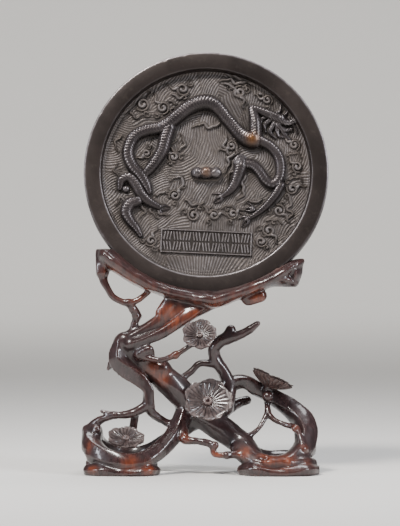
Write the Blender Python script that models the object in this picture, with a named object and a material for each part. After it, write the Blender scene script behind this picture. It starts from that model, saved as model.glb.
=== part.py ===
"""A cast bronze mirror with a dragon in relief, standing in a carved hardwood branch stand.

Two physical pieces. The mirror is one casting: a disc with a broad plain rim, a sunk field,
a pierced knob, a dragon among clouds and a framed panel of strokes. The stand is one piece of
wood carved as a plum branch: two arms with a groove that the mirror rests in, a bent trunk,
looped roots, twigs and four flowers.

Front is -Y, up is +Z, the floor is z = 0. Lengths are in metres.
"""
import math

import bmesh
import bpy
from mathutils import Matrix, Vector

# Mirror
MIRROR_DIAMETER = 0.110
RIM_WIDTH = 0.0077
RIM_THICKNESS = 0.0075
FIELD_THICKNESS = 0.0026
RIM_WALL_DRAFT = 0.0009
RIM_EDGE = 0.0006
TURNED_STEPS = 72

# How the mirror rests in the stand
LEAN = math.radians(11.0)
SEAT_HEIGHT = 0.0802
SEAT_BACK = -0.0056
SEAT_RIGHT = 0.0009
SEAT_FIT = 0.0003
FRONT_LIP = 0.0008
BACK_LIP = 0.0026

# Arms of the stand, as radii along the rim of the mirror
ARM_DEEP = 2.3
TWIG_RADIUS = 0.0013

# Knob, and the hole for its cord
KNOB_LENGTH = 0.0132
KNOB_BREADTH = 0.0056
KNOB_HEIGHT = 0.0064
CORD_HOLE = 0.0024
CORD_HOLE_HEIGHT = 0.0022

# Dragon
DRAGON_BODY = 0.00245
DRAGON_LIMB = 0.0017
DRAGON_LIFT = 0.0008
RELIEF_SINK = 0.6
CLOUD_ROLL = 0.00075

# Panel of strokes
PANEL_LENGTH = 0.0412
PANEL_HEIGHT = 0.0105
PANEL_DROP = 0.0315
PANEL_TURN = math.radians(-1.7)
PANEL_BORDER = 0.0010
PANEL_RISE = 0.0012
STROKE_COLUMNS = 9
STROKE_ROWS = 2
STROKE_SLANT = math.radians(24)
STROKE_WIDTH = 0.0009
STROKE_RISE = 0.0008

# Flowers
FLOWER_PETALS = 5
PETAL_SIDES = 4
PETAL_THICKNESS = 0.0017

# Fineness of the fused carving and of the fused relief
STAND_VOXEL = 0.00075
STAND_FACES = 3750
RELIEF_VOXEL = 0.00045
RELIEF_FACES = 1850
CURVE_STEPS = 5

BRONZE = ("bronze_patina", (0.060, 0.045, 0.040, 1.0), 0.42, 0.85)
WOOD = ("dark_hardwood", (0.050, 0.014, 0.010, 1.0), 0.28, 0.0)

MIRROR_RADIUS = MIRROR_DIAMETER / 2
FIELD_RADIUS = MIRROR_RADIUS - RIM_WIDTH
FIELD_LEVEL = FIELD_THICKNESS - RIM_THICKNESS / 2
UNIT = SEAT_HEIGHT / 100
RELIEF_UNIT = FIELD_RADIUS / 47


def clear_scene():
    """Remove every object that the opened scene holds."""
    for obj in list(bpy.data.objects):
        bpy.data.objects.remove(obj, do_unlink=True)


def make_material(name, colour, roughness, metallic):
    """One Principled material."""
    material = bpy.data.materials.new(name)
    material.use_nodes = True
    shader = material.node_tree.nodes["Principled BSDF"]
    shader.inputs["Base Color"].default_value = colour
    shader.inputs["Roughness"].default_value = roughness
    shader.inputs["Metallic"].default_value = metallic
    return material


def add_object(name, data, parent=None, guide=False):
    """Link data to the scene as an object; a guide stays out of renders."""
    obj = bpy.data.objects.new(name, data)
    bpy.context.scene.collection.objects.link(obj)
    obj.parent = parent
    if guide:
        obj.hide_render = True
        obj.display_type = "WIRE"
    return obj


def evaluated_mesh(obj):
    """A new mesh of the object as its modifiers leave it."""
    bpy.context.view_layer.update()
    seen = obj.evaluated_get(bpy.context.evaluated_depsgraph_get())
    return bpy.data.meshes.new_from_object(seen)


def smooth_path(points):
    """Points on a smooth curve through the given ones; each row is x, y, z and radius."""
    rows = [Vector(p) for p in points]
    rows = [2 * rows[0] - rows[1]] + rows + [2 * rows[-1] - rows[-2]]
    path = []
    for before, start, end, after in zip(rows, rows[1:], rows[2:], rows[3:]):
        for step in range(CURVE_STEPS):
            t = step / CURVE_STEPS
            path.append(
                0.5 * (2 * start + (end - before) * t
                       + (2 * before - 5 * start + 4 * end - after) * t * t
                       + (3 * start - before - 3 * end + after) * t * t * t)
            )
    path.append(rows[-2])
    return path


def add_limb(shape, points, deep=1.0):
    """Add a tapered round limb along points to shape; deep stretches its section along Y."""
    path = smooth_path(points)
    curve = bpy.data.curves.new("limb", "CURVE")
    curve.dimensions = "3D"
    curve.bevel_depth = 1.0
    curve.bevel_resolution = 3
    curve.use_fill_caps = True
    spline = curve.splines.new("POLY")
    spline.points.add(len(path) - 1)
    for point, row in zip(spline.points, path):
        point.co = (row[0], row[1] / deep, row[2], 1.0)
        point.radius = max(row[3], 0.0003)
    guide = add_object("limb_guide", curve)
    mesh = evaluated_mesh(guide)
    mesh.transform(Matrix.Diagonal((1.0, deep, 1.0, 1.0)))
    shape.from_mesh(mesh)
    bpy.data.objects.remove(guide, do_unlink=True)
    bpy.data.meshes.remove(mesh)


def add_ball(shape, centre, radii):
    """Add an ellipsoid to shape."""
    place = Matrix.Translation(centre) @ Matrix.Diagonal((*radii, 1.0))
    bmesh.ops.create_icosphere(shape, subdivisions=3, radius=1.0, matrix=place)


def fused(name, shape, voxel, faces, smoothing):
    """Fuse the overlapping forms in shape into one skin of about that many triangles."""
    mesh = bpy.data.meshes.new(name)
    shape.to_mesh(mesh)
    shape.free()
    guide = add_object(name + "_guide", mesh)
    remesh = guide.modifiers.new("fuse", "REMESH")
    remesh.mode = "VOXEL"
    remesh.voxel_size = voxel
    soften = guide.modifiers.new("soften", "SMOOTH")
    soften.factor = 0.5
    soften.iterations = smoothing
    dense = evaluated_mesh(guide)
    triangles = sum(len(face.vertices) - 2 for face in dense.polygons)
    thin = guide.modifiers.new("thin", "DECIMATE")
    thin.ratio = min(1.0, faces / triangles)
    skin = evaluated_mesh(guide)
    skin.name = name
    bpy.data.objects.remove(guide, do_unlink=True)
    return skin


def turned(name, profile, parent, guide=False):
    """A solid turned round its local Z from a profile that runs top to bottom."""
    mesh = bpy.data.meshes.new(name)
    edges = [(i, i + 1) for i in range(len(profile) - 1)]
    mesh.from_pydata([(radius, 0.0, level) for radius, level in profile], edges, [])
    obj = add_object(name, mesh, parent, guide)
    screw = obj.modifiers.new("turn", "SCREW")
    screw.steps = TURNED_STEPS
    screw.render_steps = TURNED_STEPS
    screw.use_merge_vertices = True
    screw.merge_threshold = 0.00001
    return obj


def join(target, operand, operation, own_crossings=False):
    """Add an exact Boolean of operand to target; own_crossings also joins crossing forms in it."""
    boolean = target.modifiers.new(operand.name, "BOOLEAN")
    boolean.operation = operation
    boolean.solver = "EXACT"
    boolean.use_self = own_crossings
    boolean.object = operand


def shade_round(obj, angle=math.radians(38)):
    """Shade smooth, with edges sharper than the angle kept crisp."""
    obj.data.shade_smooth()
    obj.data.set_sharp_from_angle(angle=angle)


def relief_point(right, up, height, radius):
    """A point of the relief, in forty-sevenths of the field's radius, as a limb row."""
    unit = RELIEF_UNIT
    return (right * unit, up * unit, FIELD_LEVEL + height, radius)


def relief_limb(shape, points, start, end, lift=DRAGON_LIFT):
    """A tube of relief whose radius runs evenly from start to end, always sunk in the field."""
    last = len(points) - 1
    rows = []
    for i, (right, up) in enumerate(points):
        radius = start + (end - start) * i / last
        rows.append(relief_point(right, up, min(lift, RELIEF_SINK * radius), radius))
    add_limb(shape, rows)


def relief_ball(shape, right, up, radii, lift=0.0):
    """A rounded boss of relief."""
    centre = (right * RELIEF_UNIT, up * RELIEF_UNIT, FIELD_LEVEL + lift)
    add_ball(shape, centre, radii)


def add_dragon(shape):
    """The dragon: body, neck, head with horns and mane, four legs with claws, and tail."""
    body = DRAGON_BODY
    limb = DRAGON_LIMB
    relief_limb(shape, [(22, 14), (16.5, 15.6), (12, 21), (8.5, 26.5), (4.5, 31), (1, 32.8),
                        (-4, 32.3), (-9, 29.2), (-14, 25), (-19.5, 21)],
                body * 1.12, body)
    relief_limb(shape, [(-17, 22.5), (-21, 20.3), (-25.5, 19.6), (-31, 18), (-34.5, 14),
                        (-35.4, 9), (-33.6, 4), (-30.4, -0.7), (-27.3, -5), (-25.5, -8)],
                body, body * 0.5)
    relief_limb(shape, [(-18.7, 21), (-20.4, 16), (-20.6, 11), (-22.8, 5.2), (-26, 1)],
                body, body * 0.75)
    relief_limb(shape, [(21, 14), (22.6, 19), (22.4, 24.5), (20.6, 29.6)], body * 1.1, limb)
    relief_limb(shape, [(20.4, 29.8), (24.2, 28.6), (28, 27), (32, 25.4)], limb * 0.9, limb)
    relief_ball(shape, 33, 24, (0.0036, 0.0025, 0.0026))
    relief_limb(shape, [(33, 23.5), (36.5, 22.6), (39.5, 23.6)], 0.0019, 0.0013)
    relief_limb(shape, [(32, 21.5), (35, 19.2), (38.5, 20)], 0.0015, 0.0010)
    relief_limb(shape, [(33, 25.5), (35, 26.6), (36.7, 28.6)], 0.0010, 0.0006)
    relief_limb(shape, [(30, 22), (28.5, 18.5), (31, 16)], 0.0014, 0.0006)
    relief_limb(shape, [(33, 20), (35.5, 16.5), (38, 14)], 0.0011, 0.0006)
    relief_limb(shape, [(25, 15), (30, 12), (33.7, 7.5), (34.6, 2), (33.5, -2.8), (30, -5.2),
                        (27, -3.5), (24.2, 0.6), (20.6, 4), (16, 4.8)],
                limb * 1.25, limb * 1.1)
    relief_ball(shape, 14.6, 4.6, (0.0030, 0.0027, 0.0024))
    relief_limb(shape, [(15, 4), (12.5, 0.5), (12, -4.5), (11, -8), (8, -10.5)],
                limb, limb * 0.55)
    relief_limb(shape, [(34, -5), (31, -9.8), (27.4, -13.6), (23.8, -17.3), (22, -20.5)],
                limb * 0.9, limb * 0.7)
    relief_limb(shape, [(-39.5, -5), (-35.4, -2.6), (-31.3, -5.3), (-29.5, -9), (-26.4, -12.2),
                        (-21, -14)],
                limb * 1.1, limb * 0.7)
    relief_limb(shape, [(-30, -13), (-34, -13.5), (-36.3, -16.8), (-35, -21), (-31.8, -24.2),
                        (-29.5, -28.3)],
                limb * 1.1, limb * 0.5)
    relief_ball(shape, -36.4, -7.4, (0.0022, 0.0022, 0.0016))
    claws = [((8, -10.5), 200), ((22, -20.5), 235), ((-21, -14), 340), ((21, -16.5), 160)]
    for (right, up), aim in claws:
        for spread in (-48, 0, 48):
            turn = math.radians(aim + spread)
            tip = (right + 4.4 * math.cos(turn), up + 4.4 * math.sin(turn))
            relief_limb(shape, [(right, up), tip], 0.0009, 0.0006, lift=0.0004)


def add_clouds(shape):
    """Rolled clouds, each a short spiral of relief: place, size and which way it rolls."""
    clouds = [(-28.5, 31.5, 3.4, 1), (-10.5, 38.5, 3.3, -1), (-19.5, 30, 3.3, 1),
              (15, 37, 3.2, 1), (22.5, 38, 3.0, -1), (27.5, 33.5, 2.6, 1), (-26.5, 9, 2.4, -1),
              (39.5, 13, 2.8, 1), (40.8, 3, 2.8, -1), (38.5, -7, 2.8, 1), (32.5, -17, 3.0, -1),
              (28, -26, 3.2, 1), (-5.5, -19, 3.2, 1), (3.5, -19, 2.8, -1), (12, -18.5, 2.6, 1),
              (-14, -10, 2.8, -1), (11.5, 12.5, 2.6, 1), (-14.5, 7.5, 2.6, -1),
              (-24.5, -30.5, 2.8, 1), (24.5, -31, 2.8, -1)]
    for right, up, size, hand in clouds:
        coil = []
        for i in range(8):
            turn = hand * math.radians(200 + 55 * i)
            reach = size * (1.45 - 0.3 * i if i < 2 else 0.95 - 0.1 * i)
            coil.append((right + reach * math.cos(turn), up + reach * math.sin(turn)))
        relief_limb(shape, coil, CLOUD_ROLL, CLOUD_ROLL * 1.3, lift=0.0003)
    relief_limb(shape, [(-6, 21), (-2, 22.6), (2, 20.8), (6, 22.8)], 0.0008, 0.0008, lift=0.0)


def add_knob(shape):
    """The knob: a tall middle lobe between two lower ones, like a small mountain."""
    reach = KNOB_LENGTH / 2
    half = KNOB_BREADTH / 2
    sink = FIELD_THICKNESS * 0.7
    for place, height, length in ((0, 1.0, 0.44), (-0.58, 0.72, 0.42), (0.58, 0.72, 0.42)):
        rise = KNOB_HEIGHT * height
        tall = (rise + sink) / 2
        add_ball(shape, (place * reach, 0.0, FIELD_LEVEL + rise - tall),
                 (reach * length, half, tall))


def panel_frame_and_strokes(parent):
    """The framed panel under the dragon: a plain border and columns of short strokes."""
    shape = bmesh.new()
    bmesh.ops.create_grid(shape, x_segments=1, y_segments=1, size=0.5)
    bmesh.ops.scale(shape, vec=(PANEL_LENGTH, PANEL_HEIGHT, 1.0), verts=shape.verts)
    bmesh.ops.inset_region(shape, faces=shape.faces[:], thickness=PANEL_BORDER,
                           use_boundary=True)
    inner = min(shape.faces, key=lambda face: abs(face.calc_center_median().x)
                + abs(face.calc_center_median().y))
    bmesh.ops.delete(shape, geom=[inner], context="FACES")
    lifted = bmesh.ops.extrude_face_region(shape, geom=shape.faces[:])
    raised = [item for item in lifted["geom"] if isinstance(item, bmesh.types.BMVert)]
    bmesh.ops.translate(shape, vec=(0, 0, FIELD_THICKNESS / 2 + PANEL_RISE), verts=raised)
    pitch = (PANEL_LENGTH - 2 * PANEL_BORDER) / STROKE_COLUMNS
    row_height = (PANEL_HEIGHT - 2 * PANEL_BORDER) / STROKE_ROWS
    bury = FIELD_THICKNESS / 2
    size = (STROKE_WIDTH, row_height * 0.68, bury + STROKE_RISE)
    for column in range(STROKE_COLUMNS):
        for row in range(STROKE_ROWS):
            middle = ((column + 0.5 - STROKE_COLUMNS / 2) * pitch,
                      (row + 0.5 - STROKE_ROWS / 2) * row_height, size[2] / 2)
            slant = Matrix.Rotation(STROKE_SLANT * (-1) ** (row + column), 4, "Z")
            place = Matrix.Translation(middle) @ slant @ Matrix.Diagonal((*size, 1))
            bmesh.ops.create_cube(shape, size=1.0, matrix=place)
    bmesh.ops.recalc_face_normals(shape, faces=shape.faces[:])
    mesh = bpy.data.meshes.new("panel")
    shape.to_mesh(mesh)
    shape.free()
    obj = add_object("panel_relief", mesh, parent, guide=True)
    obj.location = (0.0, -PANEL_DROP, FIELD_LEVEL - bury)
    obj.rotation_euler = (0.0, 0.0, PANEL_TURN)
    return obj


def make_mirror(place, material):
    """The bronze mirror, turned and then joined with its relief, knob and panel."""
    front = RIM_THICKNESS / 2
    wall = FIELD_RADIUS - RIM_WALL_DRAFT
    mirror = turned("bronze_mirror", [
        (0.0, FIELD_LEVEL), (wall, FIELD_LEVEL), (FIELD_RADIUS, front - RIM_EDGE),
        (FIELD_RADIUS + RIM_EDGE, front), (MIRROR_RADIUS - RIM_EDGE, front),
        (MIRROR_RADIUS, front - RIM_EDGE), (MIRROR_RADIUS, RIM_EDGE - front),
        (MIRROR_RADIUS - RIM_EDGE, -front), (0.0, -front),
    ], place)
    mirror.data.materials.append(material)
    shape = bmesh.new()
    add_dragon(shape)
    add_clouds(shape)
    add_knob(shape)
    relief = fused("relief", shape, RELIEF_VOXEL, RELIEF_FACES, 1)
    join(mirror, add_object("dragon_relief", relief, place, guide=True), "UNION", True)
    join(mirror, panel_frame_and_strokes(place), "UNION", True)
    hole = bmesh.new()
    across = Matrix.Translation((0, 0, FIELD_LEVEL + CORD_HOLE_HEIGHT)) @ Matrix.Rotation(
        math.pi / 2, 4, "X")
    bmesh.ops.create_cone(hole, cap_ends=True, segments=12, radius1=CORD_HOLE / 2,
                          radius2=CORD_HOLE / 2, depth=KNOB_BREADTH * 2, matrix=across)
    drill = bpy.data.meshes.new("cord_hole")
    hole.to_mesh(drill)
    hole.free()
    join(mirror, add_object("cord_hole", drill, place, guide=True), "DIFFERENCE")
    return mirror


def tree(points):
    """Rows of x, y, z and radius in hundredths of the seat's height, as metres."""
    return [tuple(value * UNIT for value in row) for row in points]


def beside(angle, out, radius, forward=0.0):
    """A limb row beside the mirror: degrees right of its lowest point, and how far outside."""
    turn = math.radians(angle)
    reach = MIRROR_RADIUS + out
    right = SEAT_RIGHT + reach * math.sin(turn)
    up = MIRROR_RADIUS - reach * math.cos(turn)
    back = SEAT_BACK + up * math.sin(LEAN) - forward
    return (right, back, SEAT_HEIGHT + up * math.cos(LEAN), radius)


def add_arms(shape):
    """The two arms that hold the mirror, with the stubs and twigs that grow from them."""
    add_limb(shape, [beside(-50.5, 0.0032, 0.0040), beside(-46, 0.0026, 0.0042),
                     beside(-37, 0.0018, 0.0040), beside(-27, 0.0014, 0.0036),
                     beside(-17, 0.0010, 0.0034), beside(-8, 0.0012, 0.0034),
                     beside(0, 0.0016, 0.0036)], ARM_DEEP)
    add_limb(shape, [beside(-4, 0.0022, 0.0036), beside(4, 0.0026, 0.0040),
                     beside(12, 0.0014, 0.0036), beside(21, 0.0008, 0.0032),
                     beside(30, 0.0010, 0.0033), beside(38, 0.0016, 0.0031),
                     beside(44, 0.0028, 0.0024), beside(47, 0.0037, 0.0012)], ARM_DEEP)
    add_limb(shape, [beside(-52, 0.0037, 0.0030), beside(-49.5, 0.0060, 0.0031),
                     beside(-45.8, 0.0100, 0.0029)], 1.3)
    add_limb(shape, [beside(31, 0.0018, 0.0030), beside(36, 0.0048, 0.0033),
                     beside(38.2, 0.0088, 0.0016)], 1.6)
    add_limb(shape, [beside(45, 0.0034, 0.0018), beside(41, 0.0056, 0.0030),
                     beside(38.5, 0.0086, 0.0016)], 1.6)
    twig = TWIG_RADIUS
    add_limb(shape, [beside(-46.3, 0.0096, twig * 1.8), beside(-43.2, 0.0122, twig * 1.5),
                     beside(-39.8, 0.0136, twig * 1.2), beside(-36, 0.0150, twig * 1.2),
                     beside(-31, 0.0140, twig * 1.2), beside(-28, 0.0106, twig * 1.1),
                     beside(-25.6, 0.0052, twig * 1.1)])
    link = tree([(-38, -5, 88.5, 2.7), (-38.8, -5, 83.5, 2.1), (-40.5, -5, 77, 2.8)])
    add_limb(shape, [beside(-30.5, 0.0134, twig * 1.2)] + link)
    add_limb(shape, [beside(18.5, 0.0024, 0.0028, -0.001), beside(18, 0.0056, 0.0027),
                     beside(23.5, 0.0062, 0.0027)])


def add_trunk(shape):
    """The bent trunk, the two strands that rise from its elbow, and its broken lobe."""
    limbs = [
        [(0, -7, 97, 4), (-12, -7, 93, 5.4), (-21, -6, 87.2, 5), (-30.5, -6, 81, 4),
         (-39, -6, 76.5, 4), (-45.5, -6, 73.5, 3.8)],
        [(6, -9, 96, 3.8), (-3.5, -10, 91.5, 3.8), (-12.5, -11, 85.5, 3.8), (-21.5, -11, 79.5, 3.5),
         (-31.5, -11, 75, 3.3), (-42, -9, 71.5, 3.4)],
        [(-2, -5, 93, 3.6), (-17, -5, 86, 4), (-32, -5, 77.5, 3.6)],
        [(-45, -6, 73, 4), (-39.5, -5, 66.5, 5.2), (-30.5, -4, 59.5, 6.3), (-20.5, -3, 51.5, 7.6),
         (-10.5, -1, 41.5, 7.9), (-0.5, 0, 32, 7.6), (10, -1, 24, 7.3), (20, -6, 17, 6.8),
         (27, -14, 10.5, 5.6)],
        [(-47, -7, 72.5, 3.8), (-48, -8, 64.5, 4.9), (-43.5, -8, 58.8, 5.5), (-36.5, -9, 52.8, 4.8),
         (-31.5, -10, 46.5, 3.6), (-31, -10, 39.5, 3.3), (-29.5, -9, 34, 2.5), (-24, -7, 30, 2.1),
         (-17, -6, 26, 2)],
        [(-47, -7, 68, 3.6), (-51, -6, 61.5, 2.4), (-53.5, -5, 58, 1)],
    ]
    for limb in limbs:
        add_limb(shape, tree(limb))
    for knot in ([-45, -7, 74, 4.6], [-33, -9, 68, 4.6], [-24, -6, 58, 5.6], [-4, 3, 31, 7.2]):
        right, back, up, size = (value * UNIT for value in knot)
        add_ball(shape, (right, back, up), (size, size, size))


def add_roots(shape):
    """The looped roots left and right, and the feet under them."""
    limbs = [
        ([(-11.5, -4, 32.5, 5.1), (-16, -10, 23, 4.8), (-24.5, -18, 14, 4.8),
          (-34, -24, 8.5, 4.8), (-45, -26, 8.5, 4.5), (-56.5, -22, 11.5, 4.3),
          (-64.5, -12, 16, 4.5), (-64.5, -2, 20.5, 5)], 1.0),
        ([(-60, -10, 24.5, 2.6), (-63, 0, 20.5, 5), (-62, 10, 18, 5), (-56.5, 20, 12.5, 4.5),
          (-45, 26, 8, 4.5), (-31.5, 24, 9.5, 4.5), (-19.5, 14, 17, 4.5), (-8, 4, 26, 4.5)], 1.0),
        ([(-64, -21, 3, 3.1), (-52, -26, 3, 3.6), (-38, -26, 3.2, 4), (-28, -21, 2.4, 3)], 1.5),
        ([(-64, 20, 3, 3.1), (-50, 25, 3, 3.6), (-37, 25, 3.2, 3.8), (-29, 20, 2.4, 3)], 1.5),
        ([(20, -12, 13, 5.6), (28, -20, 8, 5.1), (38, -24, 6.5, 4.6), (48.5, -20, 8.5, 5.1),
          (56, -10, 16, 6), (56.5, -2, 25.5, 6.4), (51.5, 4, 32.8, 5.8), (43.5, 7, 38.6, 5.2),
          (36, 8, 43, 4.8), (28.5, 7, 47, 4.6), (21.5, 5, 50.5, 4.2), (12, 3, 48, 3.9)], 1.0),
        ([(14, 4, 22, 5), (23, 10, 13, 5.1), (29, 17, 8, 4.6), (37, 24, 5.5, 4.5),
          (49.5, 25, 6, 4.5), (57.5, 16, 9.5, 4.5), (58, 6, 16, 5), (57, -3, 24, 5)], 1.0),
        ([(21, -19, 2.8, 3), (29, -25, 3.4, 3.8), (42.5, -28, 3.4, 4), (56, -25, 3, 3.6),
          (63, -18, 2.4, 2.6)], 1.5),
        ([(26, 15, 3, 3.4), (36, 24, 3, 3.8), (50, 26, 3, 3.6), (61, 18, 2.6, 3)], 1.5),
    ]
    for limb, deep in limbs:
        add_limb(shape, tree(limb), deep)


def add_twigs(shape):
    """The right-hand branch and the small twigs and flower stalks."""
    limbs = [
        [(12, 1, 36, 4.6), (14, 2, 46.5, 3.9), (11.5, 3, 54.5, 3.7), (7, 3, 62, 3.5),
         (5.5, 2, 68.5, 3.5), (9, 1, 73, 3.4), (13, 1, 76, 3.2), (15, 1, 79.5, 3)],
        [(13, 1, 74.5, 3.3), (19.5, -1, 76.8, 2.8), (25.5, -2, 80, 2.3), (30, -2, 83.3, 1.6)],
        [(-13, 0, 50, 2.4), (-11.5, 0, 53, 2), (-7, 2, 56.5, 1.9), (-2.5, 3, 60.5, 1.9),
         (5, 3, 60.5, 2.3)],
        [(12, 4, 34, 3.6), (19, 9, 38, 3), (24, 12, 39.5, 2.6)],
        [(-36, -10, 66, 2.8), (-31, -13, 64.5, 1.8), (-24, -15, 63.5, 1.6), (-16, -17, 66.5, 1.5),
         (-8, -17, 71.5, 1.6), (-3, -16.5, 76, 2.2)],
        [(-36, -11, 66.5, 3), (-30.5, -13, 69.5, 2.4), (-29, -12, 66.5, 1.8)],
        [(-32, -10, 38, 3), (-39, -11, 34, 2.6), (-48, -10, 32.5, 2), (-57, -8, 34.5, 1.1)],
        [(-50, -10, 32.5, 2), (-58, -7, 29.5, 2.2), (-65, -4, 24, 3)],
        [(-38, -11, 34, 2.4), (-39.5, -13, 28, 2.4), (-42, -15, 20, 2.4)],
        [(-12, -9, 25, 3.4), (-10.5, -15, 19.5, 2.5), (-3.5, -17, 18.5, 2), (4, -18, 16.5, 2),
         (6, -19, 11.5, 1.7), (12.5, -19, 11, 1.7), (21, -17, 11, 2.6)],
        [(35.5, 6, 42, 2.4), (35.5, 0, 35, 1.6), (38.5, -3, 30, 1.5), (45, -6, 27, 1.4),
         (51, -8, 25.5, 1.6), (53.5, -10, 20.5, 1.4), (55, -10, 14, 1.8)],
        [(35.5, 0, 34.5, 1.5), (33, -3, 28.5, 1.4), (29, -6, 23.5, 1.4), (22, -8, 19, 2)],
        [(-1, -2, 34, 4), (1, -8, 38, 3.4), (2, -12.5, 40.5, 3)],
        [(34, 6, 44, 3), (36.5, 3, 48, 2.4), (38.2, 1, 52, 2.4)],
    ]
    for limb in limbs:
        add_limb(shape, tree(limb))


def make_flower(name, centre, facing, radius, parent):
    """A plum flower: a shallow dish with notched petals and a raised middle."""
    sides = FLOWER_PETALS * PETAL_SIDES
    shape = bmesh.new()
    size = radius * UNIT
    # Each ring is a share of the flower's radius and its height over the dish's middle.
    rings = ((0.16, 1.10, 0), (0.22, 0.35, 0), (0.62, 0.45, 0.5), (1.0, 1.75, 1.0),
             (0.97, 0.85, 1.0), (0.45, -0.9, 0.3))
    loops = []
    for share, height, scallop in rings:
        loop = []
        for i in range(sides):
            turn = 2 * math.pi * i / sides
            notch = 1 - 0.16 * scallop * (i % PETAL_SIDES == 0)
            reach = size * share * notch
            loop.append(shape.verts.new((reach * math.cos(turn), reach * math.sin(turn),
                                         height * PETAL_THICKNESS)))
        loops.append(loop)
    for upper, lower in zip(loops, loops[1:]):
        for i in range(sides):
            j = (i + 1) % sides
            shape.faces.new((upper[i], lower[i], lower[j], upper[j]))
    shape.faces.new(loops[0])
    shape.faces.new(loops[-1][::-1])
    mesh = bpy.data.meshes.new(name)
    shape.to_mesh(mesh)
    shape.free()
    flower = add_object(name, mesh, parent, guide=True)
    turn = Vector((0, 0, 1)).rotation_difference(Vector(facing).normalized())
    flower.matrix_local = Matrix.Translation(Vector(centre) * UNIT) @ turn.to_matrix().to_4x4()
    return flower


def make_stand(centre, place, material):
    """The carved stand, with the mirror's groove cut in its arms and its feet cut level."""
    shape = bmesh.new()
    add_arms(shape)
    add_trunk(shape)
    add_roots(shape)
    add_twigs(shape)
    stand = add_object("carved_wood_stand",
                       fused("carved_wood_stand", shape, STAND_VOXEL, STAND_FACES, 3), centre)
    stand.data.materials.append(material)
    flowers = [
        ("upper_flower", (-2.5, -18, 77.3), (-0.05, -0.82, 0.57), 9.9),
        ("middle_flower", (1.9, -14, 40), (0.02, -0.82, 0.57), 13.9),
        ("low_flower", (-43.5, -17, 19.4), (0.05, -0.5, 0.87), 10.7),
        ("edge_flower", (38.2, 0, 52), (0.4, -0.15, 0.9), 11.0),
    ]
    for name, middle, facing, radius in flowers:
        join(stand, make_flower(name, middle, facing, radius, centre), "UNION")
    side = RIM_THICKNESS / 2 + SEAT_FIT
    clear = side + 3 * RIM_THICKNESS
    groove = MIRROR_RADIUS + SEAT_FIT
    seat = turned("mirror_groove", [
        (0.0, clear), (MIRROR_RADIUS - FRONT_LIP, clear), (MIRROR_RADIUS - FRONT_LIP, side),
        (groove, side), (groove, -side), (MIRROR_RADIUS - BACK_LIP, -side),
        (MIRROR_RADIUS - BACK_LIP, -clear), (0.0, -clear),
    ], place, guide=True)
    join(stand, seat, "DIFFERENCE")
    floor = bmesh.new()
    under = Matrix.Translation((0, 0, -SEAT_HEIGHT / 2)) @ Matrix.Diagonal(
        (SEAT_HEIGHT * 3, SEAT_HEIGHT * 3, SEAT_HEIGHT, 1))
    bmesh.ops.create_cube(floor, size=1.0, matrix=under)
    plane = bpy.data.meshes.new("floor_cut")
    floor.to_mesh(plane)
    floor.free()
    join(stand, add_object("floor_cut", plane, centre, guide=True), "DIFFERENCE")
    return stand


def centre_over_floor(centre, pieces):
    """Move everything so that the box round the pieces is centred on the origin."""
    low = [math.inf, math.inf]
    high = [-math.inf, -math.inf]
    for piece in pieces:
        mesh = evaluated_mesh(piece)
        for vertex in mesh.vertices:
            spot = piece.matrix_world @ vertex.co
            for axis in (0, 1):
                low[axis] = min(low[axis], spot[axis])
                high[axis] = max(high[axis], spot[axis])
        bpy.data.meshes.remove(mesh)
    centre.location = (-(low[0] + high[0]) / 2, -(low[1] + high[1]) / 2, 0.0)
    bpy.context.view_layer.update()


def build():
    """Make the mirror and its stand."""
    clear_scene()
    centre = add_object("footprint_centre", None)
    place = add_object("mirror_place", None, centre)
    rise = MIRROR_RADIUS
    place.location = (SEAT_RIGHT, SEAT_BACK + rise * math.sin(LEAN),
                      SEAT_HEIGHT + rise * math.cos(LEAN))
    place.rotation_euler = (math.pi / 2 - LEAN, 0.0, 0.0)
    mirror = make_mirror(place, make_material(*BRONZE))
    stand = make_stand(centre, place, make_material(*WOOD))
    shade_round(mirror)
    shade_round(stand)
    centre_over_floor(centre, (mirror, stand))


build()
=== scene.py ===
import math

import bpy
import numpy as np
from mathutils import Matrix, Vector


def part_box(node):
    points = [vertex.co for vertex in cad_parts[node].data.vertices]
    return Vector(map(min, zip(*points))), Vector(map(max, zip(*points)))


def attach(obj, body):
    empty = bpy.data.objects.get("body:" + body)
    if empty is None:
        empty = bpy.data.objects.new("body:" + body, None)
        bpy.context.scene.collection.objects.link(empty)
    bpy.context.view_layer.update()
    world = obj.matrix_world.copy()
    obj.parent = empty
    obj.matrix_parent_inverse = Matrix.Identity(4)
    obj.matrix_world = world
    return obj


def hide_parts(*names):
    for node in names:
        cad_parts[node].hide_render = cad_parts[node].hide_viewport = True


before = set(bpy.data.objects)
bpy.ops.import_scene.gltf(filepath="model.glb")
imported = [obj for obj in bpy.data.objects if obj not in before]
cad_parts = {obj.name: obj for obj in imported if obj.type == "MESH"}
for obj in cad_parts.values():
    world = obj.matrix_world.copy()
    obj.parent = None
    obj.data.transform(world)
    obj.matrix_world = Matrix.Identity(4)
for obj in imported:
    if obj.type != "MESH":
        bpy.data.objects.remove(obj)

bl_info = {
    "name": "Bronze mirror on a carved stand",
    "version": (1, 0, 0),
    "blender": (4, 5, 0),
    "location": "View3D > Sidebar > Mirror",
    "description": "Dresses the bronze dragon mirror and its carved plum-branch stand",
    "category": "Object",
}

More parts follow.
